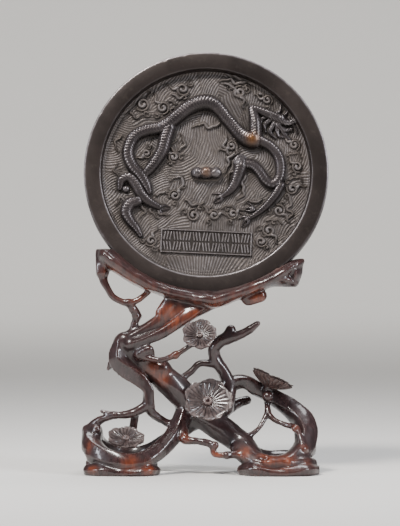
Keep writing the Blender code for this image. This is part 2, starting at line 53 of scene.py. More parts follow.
# Sizes of the part in millimetres: its boxes come from the frame, and the others are the ones
# that it was built to. All shapes below are worked out in millimetres.
MIRROR_LOW, MIRROR_HIGH = (np.array(corner) * 1000 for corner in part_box("bronze_mirror"))
STAND_LOW, STAND_HIGH = (np.array(corner) * 1000 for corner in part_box("carved_wood_stand"))
MIRROR_CENTRE = (MIRROR_LOW + MIRROR_HIGH) / 2
MIRROR_RADIUS = (MIRROR_HIGH[0] - MIRROR_LOW[0]) / 2
LEAN = math.radians(11.0)
RIM_WIDTH = 7.7
RIM_HALF = 3.75
FIELD_RADIUS = MIRROR_RADIUS - RIM_WIDTH
FIELD_LEVEL = -1.15
# The levels in the ground at which relief pieces and relief tubes end.
RELIEF_FOOT = FIELD_LEVEL - 0.8
TUBE_FOOT = FIELD_LEVEL - 1.2
RELIEF_UNIT = FIELD_RADIUS / 47
SEAT_HEIGHT = 80.2
SEAT = np.array([0.9, -5.6, SEAT_HEIGHT])
SEAT_FIT = 0.3
FRONT_LIP = 0.8
BACK_LIP = 2.6
TREE_UNIT = SEAT_HEIGHT / 100
MIRROR_AXES = np.array([
    [1.0, 0.0, 0.0],
    [0.0, math.sin(LEAN), math.cos(LEAN)],
    [0.0, -math.cos(LEAN), math.sin(LEAN)],
])
STAND_SHIFT = MIRROR_CENTRE - SEAT - MIRROR_RADIUS * MIRROR_AXES[1]
# The distance that stands for anything farther off.
FAR = 6.0


# Arrays and meshes

def joined_rows(rows, columns, around=False):
    """Quads between neighbours of a rows by columns grid of points; around closes each row."""
    last = columns if around else columns - 1
    i, j = np.meshgrid(np.arange(rows - 1), np.arange(last), indexing="ij")
    k = (j + 1) % columns
    return np.stack([i * columns + j, i * columns + k,
                     (i + 1) * columns + k, (i + 1) * columns + j], -1).reshape(-1, 4)


class Shell:
    """Points, faces and point values gathered from several surfaces into one piece."""

    def __init__(self):
        self.points = []
        self.quads = []
        self.triangles = []
        self.values = {}
        self.count = 0

    def add(self, points, quads, triangles=None, **values):
        """Add a surface; values are arrays with one number for each point."""
        self.quads.append(np.asarray(quads, int).reshape(-1, 4) + self.count)
        if triangles is not None and len(triangles):
            self.triangles.append(np.asarray(triangles, int).reshape(-1, 3) + self.count)
        for name in set(values) | set(self.values):
            given = np.broadcast_to(values.get(name, 0.0), len(points))
            self.values.setdefault(name, [np.zeros(self.count)]).append(given)
        self.points.append(points)
        self.count += len(points)

    def add_tube(self, grid, **values):
        """Add a closed tube: a grid of rings by points round, with a point closing each end."""
        rings, sides = grid.shape[:2]
        points = np.vstack([grid.reshape(-1, 3), grid[0].mean(0), grid[-1].mean(0)])
        side = np.arange(sides)
        after = (side + 1) % sides
        foot, head = rings * sides, rings * sides + 1
        first = np.column_stack([after, side, np.full(sides, foot)])
        end = (rings - 1) * sides
        last = np.column_stack([end + side, end + after, np.full(sides, head)])
        full = {}
        for name, value in values.items():
            ring = np.broadcast_to(value, (rings, sides))
            full[name] = np.concatenate([ring.ravel(), [ring[0].mean(), ring[-1].mean()]])
        self.add(points, joined_rows(rings, sides, around=True),
                 np.vstack([first, last]), **full)

    def make(self, name, material, slot=None, place=None, crisp=None, keep_in=None):
        """Make the piece in the scene. Place maps its points, crisp is the angle of its sharp
        edges in degrees, and keep_in holds the corners of a box that it stays inside."""
        points = np.vstack(self.points)
        if place is not None:
            points = place(points)
        if keep_in is not None:
            points = np.clip(points, keep_in[0] + 0.02, keep_in[1] - 0.02)
        quads = np.vstack(self.quads)
        triangles = np.vstack(self.triangles) if self.triangles else np.zeros((0, 3), int)
        mesh = bpy.data.meshes.new(name)
        corners = np.concatenate([quads.ravel(), triangles.ravel()]).astype(np.int32)
        counts = np.concatenate([np.full(len(quads), 4), np.full(len(triangles), 3)])
        starts = np.concatenate([[0], np.cumsum(counts)[:-1]]).astype(np.int32)
        mesh.vertices.add(len(points))
        mesh.vertices.foreach_set("co", (points * 0.001).astype(np.float32).ravel())
        mesh.loops.add(len(corners))
        mesh.loops.foreach_set("vertex_index", corners)
        mesh.polygons.add(len(counts))
        mesh.polygons.foreach_set("loop_start", starts)
        mesh.update(calc_edges=True)
        mesh.validate()
        for value, parts in self.values.items():
            numbers = np.concatenate(parts).astype(np.float32)
            layer = mesh.attributes.new(value, "FLOAT", "POINT")
            layer.data.foreach_set("value", numbers)
        mesh.shade_smooth()
        if crisp is not None:
            mesh.set_sharp_from_angle(angle=math.radians(crisp))
        mesh.materials.append(material)
        piece = bpy.data.objects.new(name, mesh)
        bpy.context.scene.collection.objects.link(piece)
        return piece


def smooth_rows(rows, steps=6):
    """Rows on a Catmull-Rom curve: each cubic runs through two rows, with its slope at each
    half the way between that row's neighbours."""
    rows = np.asarray(rows, float)
    padded = np.vstack([2 * rows[0] - rows[1], rows, 2 * rows[-1] - rows[-2]])
    t = (np.arange(steps) / steps)[None, :, None]
    a, b, c, d = (padded[i:len(padded) - 3 + i][:, None, :] for i in range(4))
    curve = 0.5 * (2 * b + (c - a) * t + (2 * a - 5 * b + 4 * c - d) * t ** 2
                   + (3 * b - a - 3 * c + d) * t ** 3)
    return np.vstack([curve.reshape(-1, rows.shape[1]), rows[-1:]])


def run_along(rows):
    """The length of a flat path up to each of its rows."""
    steps = np.linalg.norm(np.diff(rows[:, :2], axis=0), axis=1)
    return np.concatenate([[0], np.cumsum(steps)])


def headings(rows):
    """The direction of a flat path at each of its rows, one long."""
    way = np.gradient(rows[:, :2], axis=0)
    return way / np.linalg.norm(way, axis=1, keepdims=True)


def left_of(way):
    """The directions a quarter turn to the left of these."""
    return np.column_stack([-way[:, 1], way[:, 0]])


def even_rows(rows, spacing):
    """The same flat path with rows evenly spaced along it, and the length up to each."""
    length = run_along(rows)
    count = max(3, int(length[-1] / spacing) + 1)
    at = np.linspace(0, length[-1], count)
    return np.column_stack([np.interp(at, length, column) for column in rows.T]), at


def mottle(points, size, seed, waves=12):
    """Smooth noise, about -1 to 1: the sum of sine waves of about one length, size, in seeded
    directions and phases."""
    dice = np.random.default_rng(seed)
    way = dice.normal(size=(waves, 3))
    way *= (2 * math.pi / size * dice.uniform(0.7, 1.4, (waves, 1))
            / np.linalg.norm(way, axis=1)[:, None])
    phase = dice.uniform(0, 2 * math.pi, waves)
    total = 0.0
    for direction, start in zip(way, phase):
        total = total + np.sin(points @ direction + start)
    return total / math.sqrt(waves / 2) / 1.6


def step_up(value, low, high):
    """Nought below low, one above high, and 3t^2 - 2t^3 between."""
    t = np.clip((value - low) / (high - low), 0, 1)
    return t * t * (3 - 2 * t)


def on_mirror(points):
    """From the mirror's own right, up and forward axes to the row frame."""
    return MIRROR_CENTRE + points @ MIRROR_AXES


# Carving: forms fused in a block of distances

class Carving:
    """A block of distances to a surface, negative inside, that limbs and balls are fused into."""

    def __init__(self, low, high, step):
        self.low = np.array(low, float)
        self.step = step
        self.size = np.ceil((np.array(high) - self.low) / step).astype(int) + 1
        self.field = np.full(self.size, FAR, np.float32)

    def window(self, low, high):
        """The slices of the block from low to high, and the three open axes of their places."""
        first = np.clip(np.floor((np.asarray(low) - self.low) / self.step).astype(int),
                        0, self.size - 2)
        last = np.clip(np.ceil((np.asarray(high) - self.low) / self.step).astype(int) + 1,
                       first + 1, self.size)
        part = tuple(slice(a, b) for a, b in zip(first, last))
        axes = [self.low[i] + self.step * np.arange(first[i], last[i]) for i in range(3)]
        x, y, z = axes
        return part, (x[:, None, None], y[None, :, None], z[None, None, :])

    def fuse(self, part, near, soft):
        """Smooth union: the lesser of two distances, less k h (1-h) where they are within k."""
        here = self.field[part]
        share = np.clip(0.5 + 0.5 * (here - near) / soft, 0, 1)
        blend = here + (near - here) * share - soft * share * (1 - share)
        self.field[part] = np.where(near < FAR / 2, blend, here)

    def limb(self, rows, soft=1.2, deep=1.0, sides=5, facet=0.6, twist=0.05, knots=0.0):
        """Fuse in a tapered limb: the distance to a line of cones, whose round section is
        turned towards a polygon of that many sides, which twists along the limb."""
        path = smooth_rows(rows, 5)
        path[:, 3] = np.maximum(path[:, 3], 0.35)
        squash = np.array([1.0, 1.0 / deep, 1.0])
        start, end = path[:-1, :3] * squash, path[1:, :3] * squash
        way = end - start
        length = np.linalg.norm(way, axis=1)
        run = np.concatenate([[0], np.cumsum(length)])
        widest = path[:, 3].max() * 1.2 + soft + 0.8
        reach = np.array([widest, widest * deep, widest])
        part, (x, y, z) = self.window(path[:, :3].min(0) - reach, path[:, :3].max(0) + reach)
        shape = self.field[part].shape
        best = np.full(shape, 99.0, np.float32)
        angle = np.zeros(shape, np.float32)
        along = np.zeros(shape, np.float32)
        thick = np.ones(shape, np.float32)
        side = np.cross(way[0], [0.31, 0.92, 0.24])
        origin = np.array([x[0, 0, 0], y[0, 0, 0], z[0, 0, 0]])
        for i in range(len(way)):
            if length[i] < 1e-6:
                continue
            axis = way[i] / length[i]
            side = side - axis * (side @ axis)
            side /= np.linalg.norm(side)
            across = np.cross(axis, side)
            ends = path[i:i + 2]
            margin = max(ends[:, 3]) * 1.2 + soft + 0.8
            room = np.array([margin, margin * deep, margin])
            low = np.clip(((ends[:, :3].min(0) - room - origin) / self.step).astype(int),
                          0, np.array(shape) - 1)
            high = np.clip(((ends[:, :3].max(0) + room - origin) / self.step).astype(int) + 2,
                           low + 1, shape)
            box = tuple(slice(a, b) for a, b in zip(low, high))
            px = x[box[0]] - start[i, 0]
            py = y[:, box[1]] / deep - start[i, 1]
            pz = z[:, :, box[2]] - start[i, 2]
            t = np.clip((px * axis[0] + py * axis[1] + pz * axis[2]) / length[i], 0, 1)
            qx, qy, qz = (p - t * w for p, w in zip((px, py, pz), way[i]))
            radius = ends[0, 3] + t * (ends[1, 3] - ends[0, 3])
            gap = np.sqrt(qx * qx + qy * qy + qz * qz) - radius
            closer = gap < best[box]
            best[box] = np.where(closer, gap, best[box])
            turn = np.arctan2(qx * across[0] + qy * across[1] + qz * across[2],
                              qx * side[0] + qy * side[1] + qz * side[2])
            angle[box] = np.where(closer, turn, angle[box])
            along[box] = np.where(closer, run[i] + t * length[i], along[box])
            thick[box] = np.where(closer, radius, thick[box])
        slice_of = 2 * math.pi / sides
        flat = math.cos(slice_of / 2) / np.cos((angle + twist * along) % slice_of - slice_of / 2)
        middle = (1 + math.cos(slice_of / 2)) / 2
        best = best - facet * thick * (flat - middle)
        if knots:
            best = best - knots * np.cos(2 * math.pi * along / 7.5) ** 12
        self.fuse(part, best, soft)

    def ball(self, centre, radii, soft=1.2, cut=False):
        """Fuse in, or cut out, an ellipsoid: its distance is (k - 1) times its least radius,
        where k is the length of the place measured in radii."""
        centre, radii = np.asarray(centre, float), np.asarray(radii, float)
        part, axes = self.window(centre - radii - 3, centre + radii + 3)
        scaled = sum(((p - c) / r) ** 2 for p, c, r in zip(axes, centre, radii))
        gap = (np.sqrt(scaled) - 1) * radii.min()
        if not cut:
            self.fuse(part, gap, soft)
            return
        here = self.field[part]
        share = np.clip(0.5 - 0.5 * (here + gap) / soft, 0, 1)
        self.field[part] = here + (-gap - here) * share + soft * share * (1 - share)

    def places(self):
        """The place of each point of the block, as one row each."""
        axes = [self.low[i] + self.step * np.arange(self.size[i]) for i in range(3)]
        return np.stack(np.meshgrid(*axes, indexing="ij"), -1).reshape(-1, 3)

    def read(self, points, block=None):
        """The block's value at any points: the mean of the eight round each, by nearness."""
        block = self.field if block is None else block
        at = np.clip((points - self.low) / self.step, 0, self.size - 1.001)
        base = at.astype(int)
        part = at - base
        total = 0.0
        for corner in np.ndindex(2, 2, 2):
            weight = np.prod(np.where(corner, part, 1 - part), axis=1)
            i, j, k = (base + corner).T
            total = total + weight * block[i, j, k]
        return total

    def skin(self, block):
        """The surface where block is nought. Each crossed cell gets one point, at the mean of
        the crossings on its edges, and each crossed edge joins the four cells round it."""
        cells, places, rings = [], [], []
        shape = np.array(block.shape)
        for axis in range(3):
            low = [slice(1, -2)] * 3
            high = [slice(1, -2)] * 3
            high[axis] = slice(2, -1)
            first, second = block[tuple(low)], block[tuple(high)]
            at = np.argwhere((first < 0) != (second < 0)) + 1
            near = block[tuple(at.T)]
            step = np.eye(3, dtype=int)[axis]
            beyond = block[tuple((at + step).T)]
            cross = at + step * (near / (near - beyond))[:, None]
            b, c = (axis + 1) % 3, (axis + 2) % 3
            ring = np.repeat(at[:, None, :], 4, axis=1)
            ring[:, 1:3, b] -= 1
            ring[:, 2:4, c] -= 1
            ring[near >= 0] = ring[near >= 0][:, ::-1]
            key = np.ravel_multi_index(ring.reshape(-1, 3).T, shape)
            cells.append(key)
            places.append(np.repeat(cross, 4, axis=0))
            rings.append(len(at))
        names, index = np.unique(np.concatenate(cells), return_inverse=True)
        index = index.ravel()
        places = np.vstack(places)
        share = np.bincount(index)
        points = np.column_stack([np.bincount(index, places[:, i]) / share for i in range(3)])
        return self.low + points * self.step, index.reshape(-1, 4)


def slopes(reading, points, step):
    """The slope of a reading at points, from the readings a step to either side."""
    columns = []
    for axis in np.eye(3) * step:
        columns.append((reading(points + axis) - reading(points - axis)) / (2 * step))
    return np.column_stack(columns)


def settled(points, readings, step):
    """Points moved onto the surface where the greatest reading is nought. Where two or three
    readings are near nought at once, onto their shared edge or corner. Each of four rounds
    takes the least move that brings the near readings to nought along their slopes."""
    for _ in range(4):
        values = np.column_stack([reading(points) for reading in readings])
        bends = np.stack([slopes(reading, points, step / 2) for reading in readings], 1)
        near = (np.abs(values) < 0.42 * step) | (values == values.max(1, keepdims=True))
        values = values * near
        bends = bends * near[:, :, None]
        square = bends @ bends.transpose(0, 2, 1) + np.eye(len(readings)) * 0.02
        answer = np.linalg.solve(square, values[:, :, None])
        move = -(bends.transpose(0, 2, 1) @ answer)[:, :, 0]
        size = np.linalg.norm(move, axis=1, keepdims=True)
        points = points + move * np.minimum(1, 0.35 * step / np.maximum(size, 1e-9))
    return points


def blurred(block, reach):
    """The mean of a block over a cube of 2 reach + 1 points each way, by running sums."""
    for axis in range(3):
        pad = [(0, 0)] * 3
        pad[axis] = (reach + 1, reach)
        run = np.cumsum(np.pad(block, pad, mode="edge"), axis=axis, dtype=np.float32)
        width = 2 * reach + 1
        count = block.shape[axis]
        block = (run.take(np.arange(width, width + count), axis)
                 - run.take(np.arange(count), axis)) / width
    return block


# The stand's limbs, in hundredths of the seat's height: right, back, up, radius

TRUNK = [
    [(-45, -6, 73, 4), (-39.5, -5, 66.5, 5.2), (-30.5, -4, 59.5, 6.3), (-20.5, -3, 51.5, 7.6),
     (-10.5, -1, 41.5, 7.9), (-0.5, 0, 32, 7.6), (10, -1, 24, 7.3), (20, -6, 17, 6.8),
     (27, -14, 10.5, 5.6)],
]
STRANDS = [
    [(0, -7, 97, 4), (-12, -7, 93, 5.4), (-21, -6, 87.2, 5), (-30.5, -6, 81, 4),
     (-39, -6, 76.5, 4), (-45.5, -6, 73.5, 3.8)],
    [(6, -9, 96, 3.8), (-3.5, -10, 91.5, 3.8), (-12.5, -11, 85.5, 3.8), (-21.5, -11, 79.5, 3.5),
     (-31.5, -11, 75, 3.3), (-42, -9, 71.5, 3.4)],
    [(-2, -5, 93, 3.6), (-17, -5, 86, 4), (-32, -5, 77.5, 3.6)],
    [(-12, -6, 97.5, 4.4), (-18.5, -7, 94.5, 4.7), (-23, -7, 89.5, 4.2)],
]
LOBES = [
    [(-47, -7, 72.5, 3.8), (-48, -8, 64.5, 4.9), (-43.5, -8, 58.8, 5.5), (-36.5, -9, 52.8, 4.8),
     (-31.5, -10, 46.5, 3.6), (-31, -10, 39.5, 3.3), (-29.5, -9, 34, 2.5), (-24, -7, 30, 2.1),
     (-17, -6, 26, 2)],
    [(-47, -7, 68, 3.6), (-51, -6, 61.5, 2.4), (-53.5, -5, 58, 1)],
]
KNOTS = [(-45, -7, 74, 4.6), (-33, -9, 68, 4.6), (-24, -6, 58, 5.6), (-4, 3, 31, 7.2)]
ROOTS = [
    [(-11.5, -4, 32.5, 5.1), (-16, -10, 23, 4.8), (-24.5, -18, 14, 4.8), (-34, -24, 8.5, 4.8),
     (-45, -26, 8.5, 4.5), (-56, -22, 11.5, 4.8), (-62.5, -13, 16, 5.8), (-62.5, -3, 21, 6.4)],
    [(-60, -10, 24.5, 2.8), (-62.3, 0, 20.5, 6), (-61.5, 10, 18, 5.4), (-56.5, 20, 12.5, 4.5),
     (-45, 26, 8, 4.5), (-31.5, 24, 9.5, 4.5), (-19.5, 14, 17, 4.5), (-8, 4, 26, 4.5)],
    [(20, -12, 13, 5.6), (28, -20, 8, 5.1), (38, -24, 6.5, 4.6), (48.5, -20, 8.5, 5.1),
     (56, -10, 16, 6), (56.5, -2, 25.5, 6.4), (51.5, 4, 32.8, 5.8), (43.5, 7, 38.6, 5.2),
     (36, 8, 43, 4.8), (28.5, 7, 47, 4.6), (21.5, 5, 50.5, 4.2), (12, 3, 48, 3.9)],
    [(14, 4, 22, 5), (23, 10, 13, 5.1), (29, 17, 8, 4.6), (37, 24, 5.5, 4.5),
     (49.5, 25, 6, 4.5), (57.5, 16, 9.5, 4.5), (58, 6, 16, 5), (57, -3, 24, 5)],
]
FEET = [
    [(-64, -21, 2.8, 3.2), (-57, -25, 2.6, 3.6), (-48, -27, 1.9, 2.5), (-40, -27.5, 2.2, 3),
     (-32, -25, 2.8, 3.8), (-27, -20, 2.4, 3)],
    [(-64, 20, 3, 3.1), (-50, 25, 3, 3.6), (-37, 25, 3.2, 3.8), (-29, 20, 2.4, 3)],
    [(21, -19, 2.8, 3), (28, -25, 3.2, 4.1), (36, -28, 2.1, 2.7), (46, -28.5, 2.1, 2.7),
     (56, -25, 3, 3.9), (63, -18, 2.6, 2.8)],
    [(26, 15, 3, 3.4), (36, 24, 3, 3.8), (50, 26, 3, 3.6), (61, 18, 2.6, 3)],
]
TWIGS = [
    [(12, 1, 36, 4.6), (14, 2, 46.5, 3.9), (11.5, 3, 54.5, 3.7), (7, 3, 62, 3.5),
     (5.5, 2, 68.5, 3.5), (9, 1, 73, 3.4), (13, 1, 76, 3.2), (15, 1, 79.5, 3)],
    [(13, 1, 74.5, 3.3), (19.5, -1, 76.8, 2.8), (25.5, -2, 80, 2.3), (30, -2, 83.3, 1.6)],
    [(-13, 0, 50, 2.4), (-11.5, 0, 53, 2), (-7, 2, 56.5, 1.9), (-2.5, 3, 60.5, 1.9),
     (5, 3, 60.5, 2.3)],
    [(12, 4, 34, 3.6), (19, 9, 38, 3), (24, 12, 39.5, 2.6)],
    [(-36, -10, 66, 2.8), (-31, -13, 64.5, 1.8), (-24, -15, 63.5, 1.6), (-16, -17, 66.5, 1.5),
     (-8, -17, 71.5, 1.6), (-3, -16.5, 76, 2.2)],
    [(-36, -11, 66.5, 3), (-30.5, -13, 69.5, 2.4), (-29, -12, 66.5, 1.8)],
    [(-32, -10, 38, 3), (-39, -11, 34, 2.6), (-48, -10, 32.5, 2), (-57, -8, 34.5, 1.1)],
    [(-50, -10, 32.5, 2), (-58, -7, 29.5, 2.2), (-65, -4, 24, 3)],
    [(-38, -9, 34, 2.4), (-39, -6.5, 29, 2.3), (-40, -5.5, 24, 2.1), (-42, -9, 18, 2),
     (-43, -13, 16.5, 2.2)],
    [(-12, -9, 25, 3.4), (-10.5, -15, 19.5, 2.5), (-3.5, -17, 18.5, 2), (4, -18, 16.5, 2),
     (6, -19, 11.5, 1.7), (12.5, -19, 11, 1.7), (21, -17, 11, 2.6)],
    [(35.5, 6, 42, 2.4), (35.5, 0, 35, 1.6), (38.5, -3, 30, 1.5), (45, -6, 27, 1.4),
     (51, -10, 25.5, 1.7), (53.5, -15, 20.5, 1.5), (55, -17.5, 14, 1.9)],
    [(35.5, 0, 34.5, 1.5), (33, -3, 28.5, 1.4), (29, -6, 23.5, 1.4), (22, -8, 19, 2)],
    [(-1, -2, 34, 4), (1, -8, 38, 3.4), (2, -12.5, 40.5, 3)],
    [(34, 6, 44, 3), (35.5, 3, 46.5, 2.8), (36.8, 1, 50, 2.8)],
]
# Swellings that join the looped roots to their feet.
FOOT_SHOULDERS = [
    [(-62, -16, 10, 3.8), (-53, -23, 6.8, 4), (-42, -25.5, 6.2, 3.8)],
    [(47, -24.5, 7, 3.4), (56, -20, 7, 3.6), (60, -15, 6.2, 3)],
]
BUDS = [(51, -10.8, 25.2, 2.3), (55, -18, 14.2, 2.3), (-16, -17, 66.4, 2.2), (6, -19, 16.4, 2.3),
        (12.5, -19.4, 10.8, 2.2), (-11, -15, 19.6, 2.7), (35.5, 0, 42, 3.2)]
# Limbs beside the mirror: degrees right of its lowest point, millimetres outside it, radius.
LEFT_ARM = [(-50.5, 3.2, 4.0), (-46, 2.6, 4.2), (-37, 1.8, 4.0), (-27, 1.4, 3.6), (-17, 1.0, 3.4),
            (-8, 1.2, 3.4), (0, 1.6, 3.6)]
RIGHT_ARM = [(-4, 2.2, 3.6), (4, 2.6, 4.0), (12, 1.4, 3.6), (21, 0.8, 3.2), (30, 1.0, 3.3),
             (38, 1.6, 3.1), (44, 2.8, 2.4), (47, 3.7, 1.2)]
ARM_STUB = [(-52, 3.7, 3.0), (-49.5, 6.0, 3.1), (-45.8, 10.0, 2.9)]
ARM_FLARES = [[(31, 1.8, 3.0), (36, 4.8, 3.3), (38.2, 8.8, 1.6)],
              [(45, 3.4, 1.8), (41, 5.6, 3.0), (38.5, 8.6, 1.6)]]
ARM_LOOP = [(-46.3, 9.6, 2.3), (-43.2, 12.2, 1.9), (-39.8, 13.6, 1.55), (-36, 15.0, 1.5),
            (-31, 14.0, 1.5), (-28, 10.6, 1.4), (-25.6, 5.2, 1.4)]
ARM_LINK = [(-38, -5, 88.5, 2.7), (-38.8, -5, 83.5, 2.1), (-40.5, -5, 77, 2.8)]
ARM_KNOT = [(18.5, 2.4, 2.8), (18, 5.6, 2.7), (23.5, 6.2, 2.7)]
# Small hollows cut in the wood: place in hundredths, and radii in millimetres.
HOLLOWS = [((33, -25.5, 9.5, 0), (1.6, 1.1, 1.0)), ((-8, -9, 33, 0), (1.5, 1.4, 1.2))]
# Flowers: middle, the way they face, radius, and how far the rim turns up.
FLOWERS = {
    "upper_flower": ((-2.5, -18, 77.3), (-0.05, -0.82, 0.57), 9.9, 0.19),
    "middle_flower": ((1.9, -14, 40), (0.02, -0.82, 0.57), 13.9, 0.17),
    "low_flower": ((-43.5, -17, 19.4), (0.05, -0.5, 0.87), 10.7, 0.15),
    "edge_flower": ((36.6, 0, 49.2), (0.41, 0.10, 0.90), 13.4, 0.32),
}
# Painted shade on each petal in turn round the flower, as if light fell on it from one side.
PETAL_PAINTED_SHADES = (0.0, 0.12, 0.3, 0.22, 0.05)
# Profile of a flower's cup: out and up, in ninths of the flower's radius.
CUP = [(0.001, 0.55), (0.30, 0.50), (0.55, 0.62), (0.80, 1.05), (1.05, 1.30), (1.35, 1.28),
       (1.60, 0.95), (1.75, 0.45), (1.85, -0.2), (0.9, -0.9), (0.001, -1.1)]
# Where handling has polished the wood to a warmer red: place in hundredths, and reach.
WARM_SPOTS = [(-50, -9, 112, 5), (-43, -12, 104, 6), (-34, -14, 98, 6), (-25, -14, 92, 7),
              (-17, -12, 89, 7), (-6, -16, 90, 5), (6, -16, 91, 5), (18, -14, 94, 5),
              (29, -12, 99, 5), (42, -6, 110, 4), (-29, -10, 59, 4), (-23, -10, 54, 4),
              (-41, -30, 7, 4), (-31, -28, 4, 3.5), (-62, -18, 15, 3), (-62, -28, 4, 2.5),
              (35, -27, 9, 5), (45, -28, 8, 5), (56, -24, 5, 3), (51, -11, 25, 2.2),
              (55, -18, 14, 2.2), (7, -20, 11, 3), (-16, -17, 66, 2.5), (22, -20, 12, 3.5),
              (-10, -15, 20, 3)]


def tree(rows):
    """Rows in hundredths of the seat's height, as millimetres in the row frame."""
    rows = np.array(rows, float) * TREE_UNIT
    rows[:, :3] += STAND_SHIFT
    return rows


def beside(rows):
    """Rows beside the mirror: out along its radius at an angle from its lowest point."""
    rows = np.array(rows, float)
    turn = np.radians(rows[:, 0])
    reach = MIRROR_RADIUS + rows[:, 1]
    up = MIRROR_RADIUS - reach * np.cos(turn)
    return np.column_stack([
        SEAT[0] + reach * np.sin(turn), SEAT[1] + up * math.sin(LEAN),
        SEAT[2] + up * math.cos(LEAN), rows[:, 2],
    ]) + np.append(STAND_SHIFT, 0)


def groove(points):
    """Distance into the wood from the seat's groove: a stepped cylinder round the mirror's
    axis, wide where the rim lies and narrower before and behind it by the two lips."""
    local = (points - MIRROR_CENTRE) @ MIRROR_AXES.T
    out = np.hypot(local[:, 0], local[:, 1])
    side = RIM_HALF + SEAT_FIT
    slot = np.maximum(out - MIRROR_RADIUS - SEAT_FIT, np.abs(local[:, 2]) - side)
    front = np.maximum(out - MIRROR_RADIUS + FRONT_LIP, -local[:, 2])
    behind = np.maximum(out - MIRROR_RADIUS + BACK_LIP, local[:, 2])
    return -np.minimum(slot, np.minimum(front, behind))


def below_floor(points):
    """Distance below the floor that the stand rests on."""
    return -points[:, 2]


def carve_stand(step):
    """Fuse the stand's limbs, and return the block with its points and quads."""
    block = Carving(STAND_LOW - 3 * step, STAND_HIGH + 3 * step, step)
    for rows in TRUNK:
        block.limb(tree(rows), soft=1.8, sides=5, facet=0.3, twist=0.045)
    for rows in STRANDS:
        block.limb(tree(rows), soft=0.7, sides=4, facet=0.55, twist=0.03)
    for rows in LOBES:
        block.limb(tree(rows), soft=1.0, sides=4, facet=0.9, twist=0.05)
    for x, y, z, r in tree(KNOTS):
        block.ball((x, y, z), (r, r, r), soft=1.6)
    for rows in ROOTS:
        block.limb(tree(rows), soft=1.4, sides=4, facet=0.6, twist=0.03)
    for rows in FOOT_SHOULDERS:
        block.limb(tree(rows), soft=1.6, deep=1.2, sides=5, facet=0.4)
    for rows in FEET:
        block.limb(tree(rows), soft=1.0, deep=1.5, sides=5, facet=0.6)
    for rows in TWIGS:
        block.limb(tree(rows), soft=0.9, sides=5, facet=0.25, twist=0.08, knots=0.10)
    for x, y, z, r in tree(BUDS):
        block.ball((x, y, z), (r, r, r), soft=0.7)
    block.limb(beside(LEFT_ARM), soft=1.0, deep=2.3, sides=5, facet=0.2, twist=0.03)
    block.limb(beside(RIGHT_ARM), soft=1.0, deep=2.3, sides=5, facet=0.2, twist=0.03)
    block.limb(beside(ARM_STUB), soft=1.4, deep=1.3, sides=5, facet=0.9)
    for rows in ARM_FLARES:
        block.limb(beside(rows), soft=1.0, deep=1.6, sides=4, facet=0.7)
    block.limb(beside(ARM_LOOP), soft=0.8, sides=5, facet=0.5, twist=0.1)
    link = np.vstack([beside([(-30.5, 13.4, 1.5)]), tree(ARM_LINK)])
    block.limb(link, soft=0.9, knots=0.3)
    block.limb(beside(ARM_KNOT), soft=1.2)
    for centre, radii in HOLLOWS:
        block.ball(tree([centre])[0, :3], radii, soft=1.0, cut=True)
    places = block.places()
    block.field += (0.12 * mottle(places, 11.0, 3) + 0.03 * mottle(places, 4.0, 5)
                    ).reshape(block.size).astype(np.float32)
    cut = groove(places).reshape(block.size)
    under = below_floor(places).reshape(block.size)
    whole = np.maximum(block.field, np.maximum(cut, under)).astype(np.float32)
    points, quads = block.skin(whole)
    points = settled(points, [block.read, groove, below_floor], step)
    return block, whole, points, quads


def stand_values(block, whole, points, step):
    """How far each point stands out or lies in, from how much wood is near it, and how warm
    the wood is there, from its nearness to the handled places."""
    solid = (whole < 0).astype(np.float32)
    fine = block.read(points, blurred(solid, max(1, round(1.0 / step))))
    broad = block.read(points, blurred(solid, max(1, round(3.0 / step))))
    warm = np.zeros(len(points))
    for x, y, z, reach in tree(WARM_SPOTS):
        gap = np.linalg.norm(points - np.array([x, y, z]), axis=1)
        warm = np.maximum(warm, np.exp(-(gap / (reach * 1.1)) ** 2))
    edge = np.clip((0.47 - fine) * 4.5, 0, 1)
    # Painted shade: the wood is darkened in its recesses, where much wood lies round a point.
    hollow = np.clip((broad - 0.42) * 3.2, 0, 1)
    return {"edge": edge, "hollow": hollow, "warm": warm}


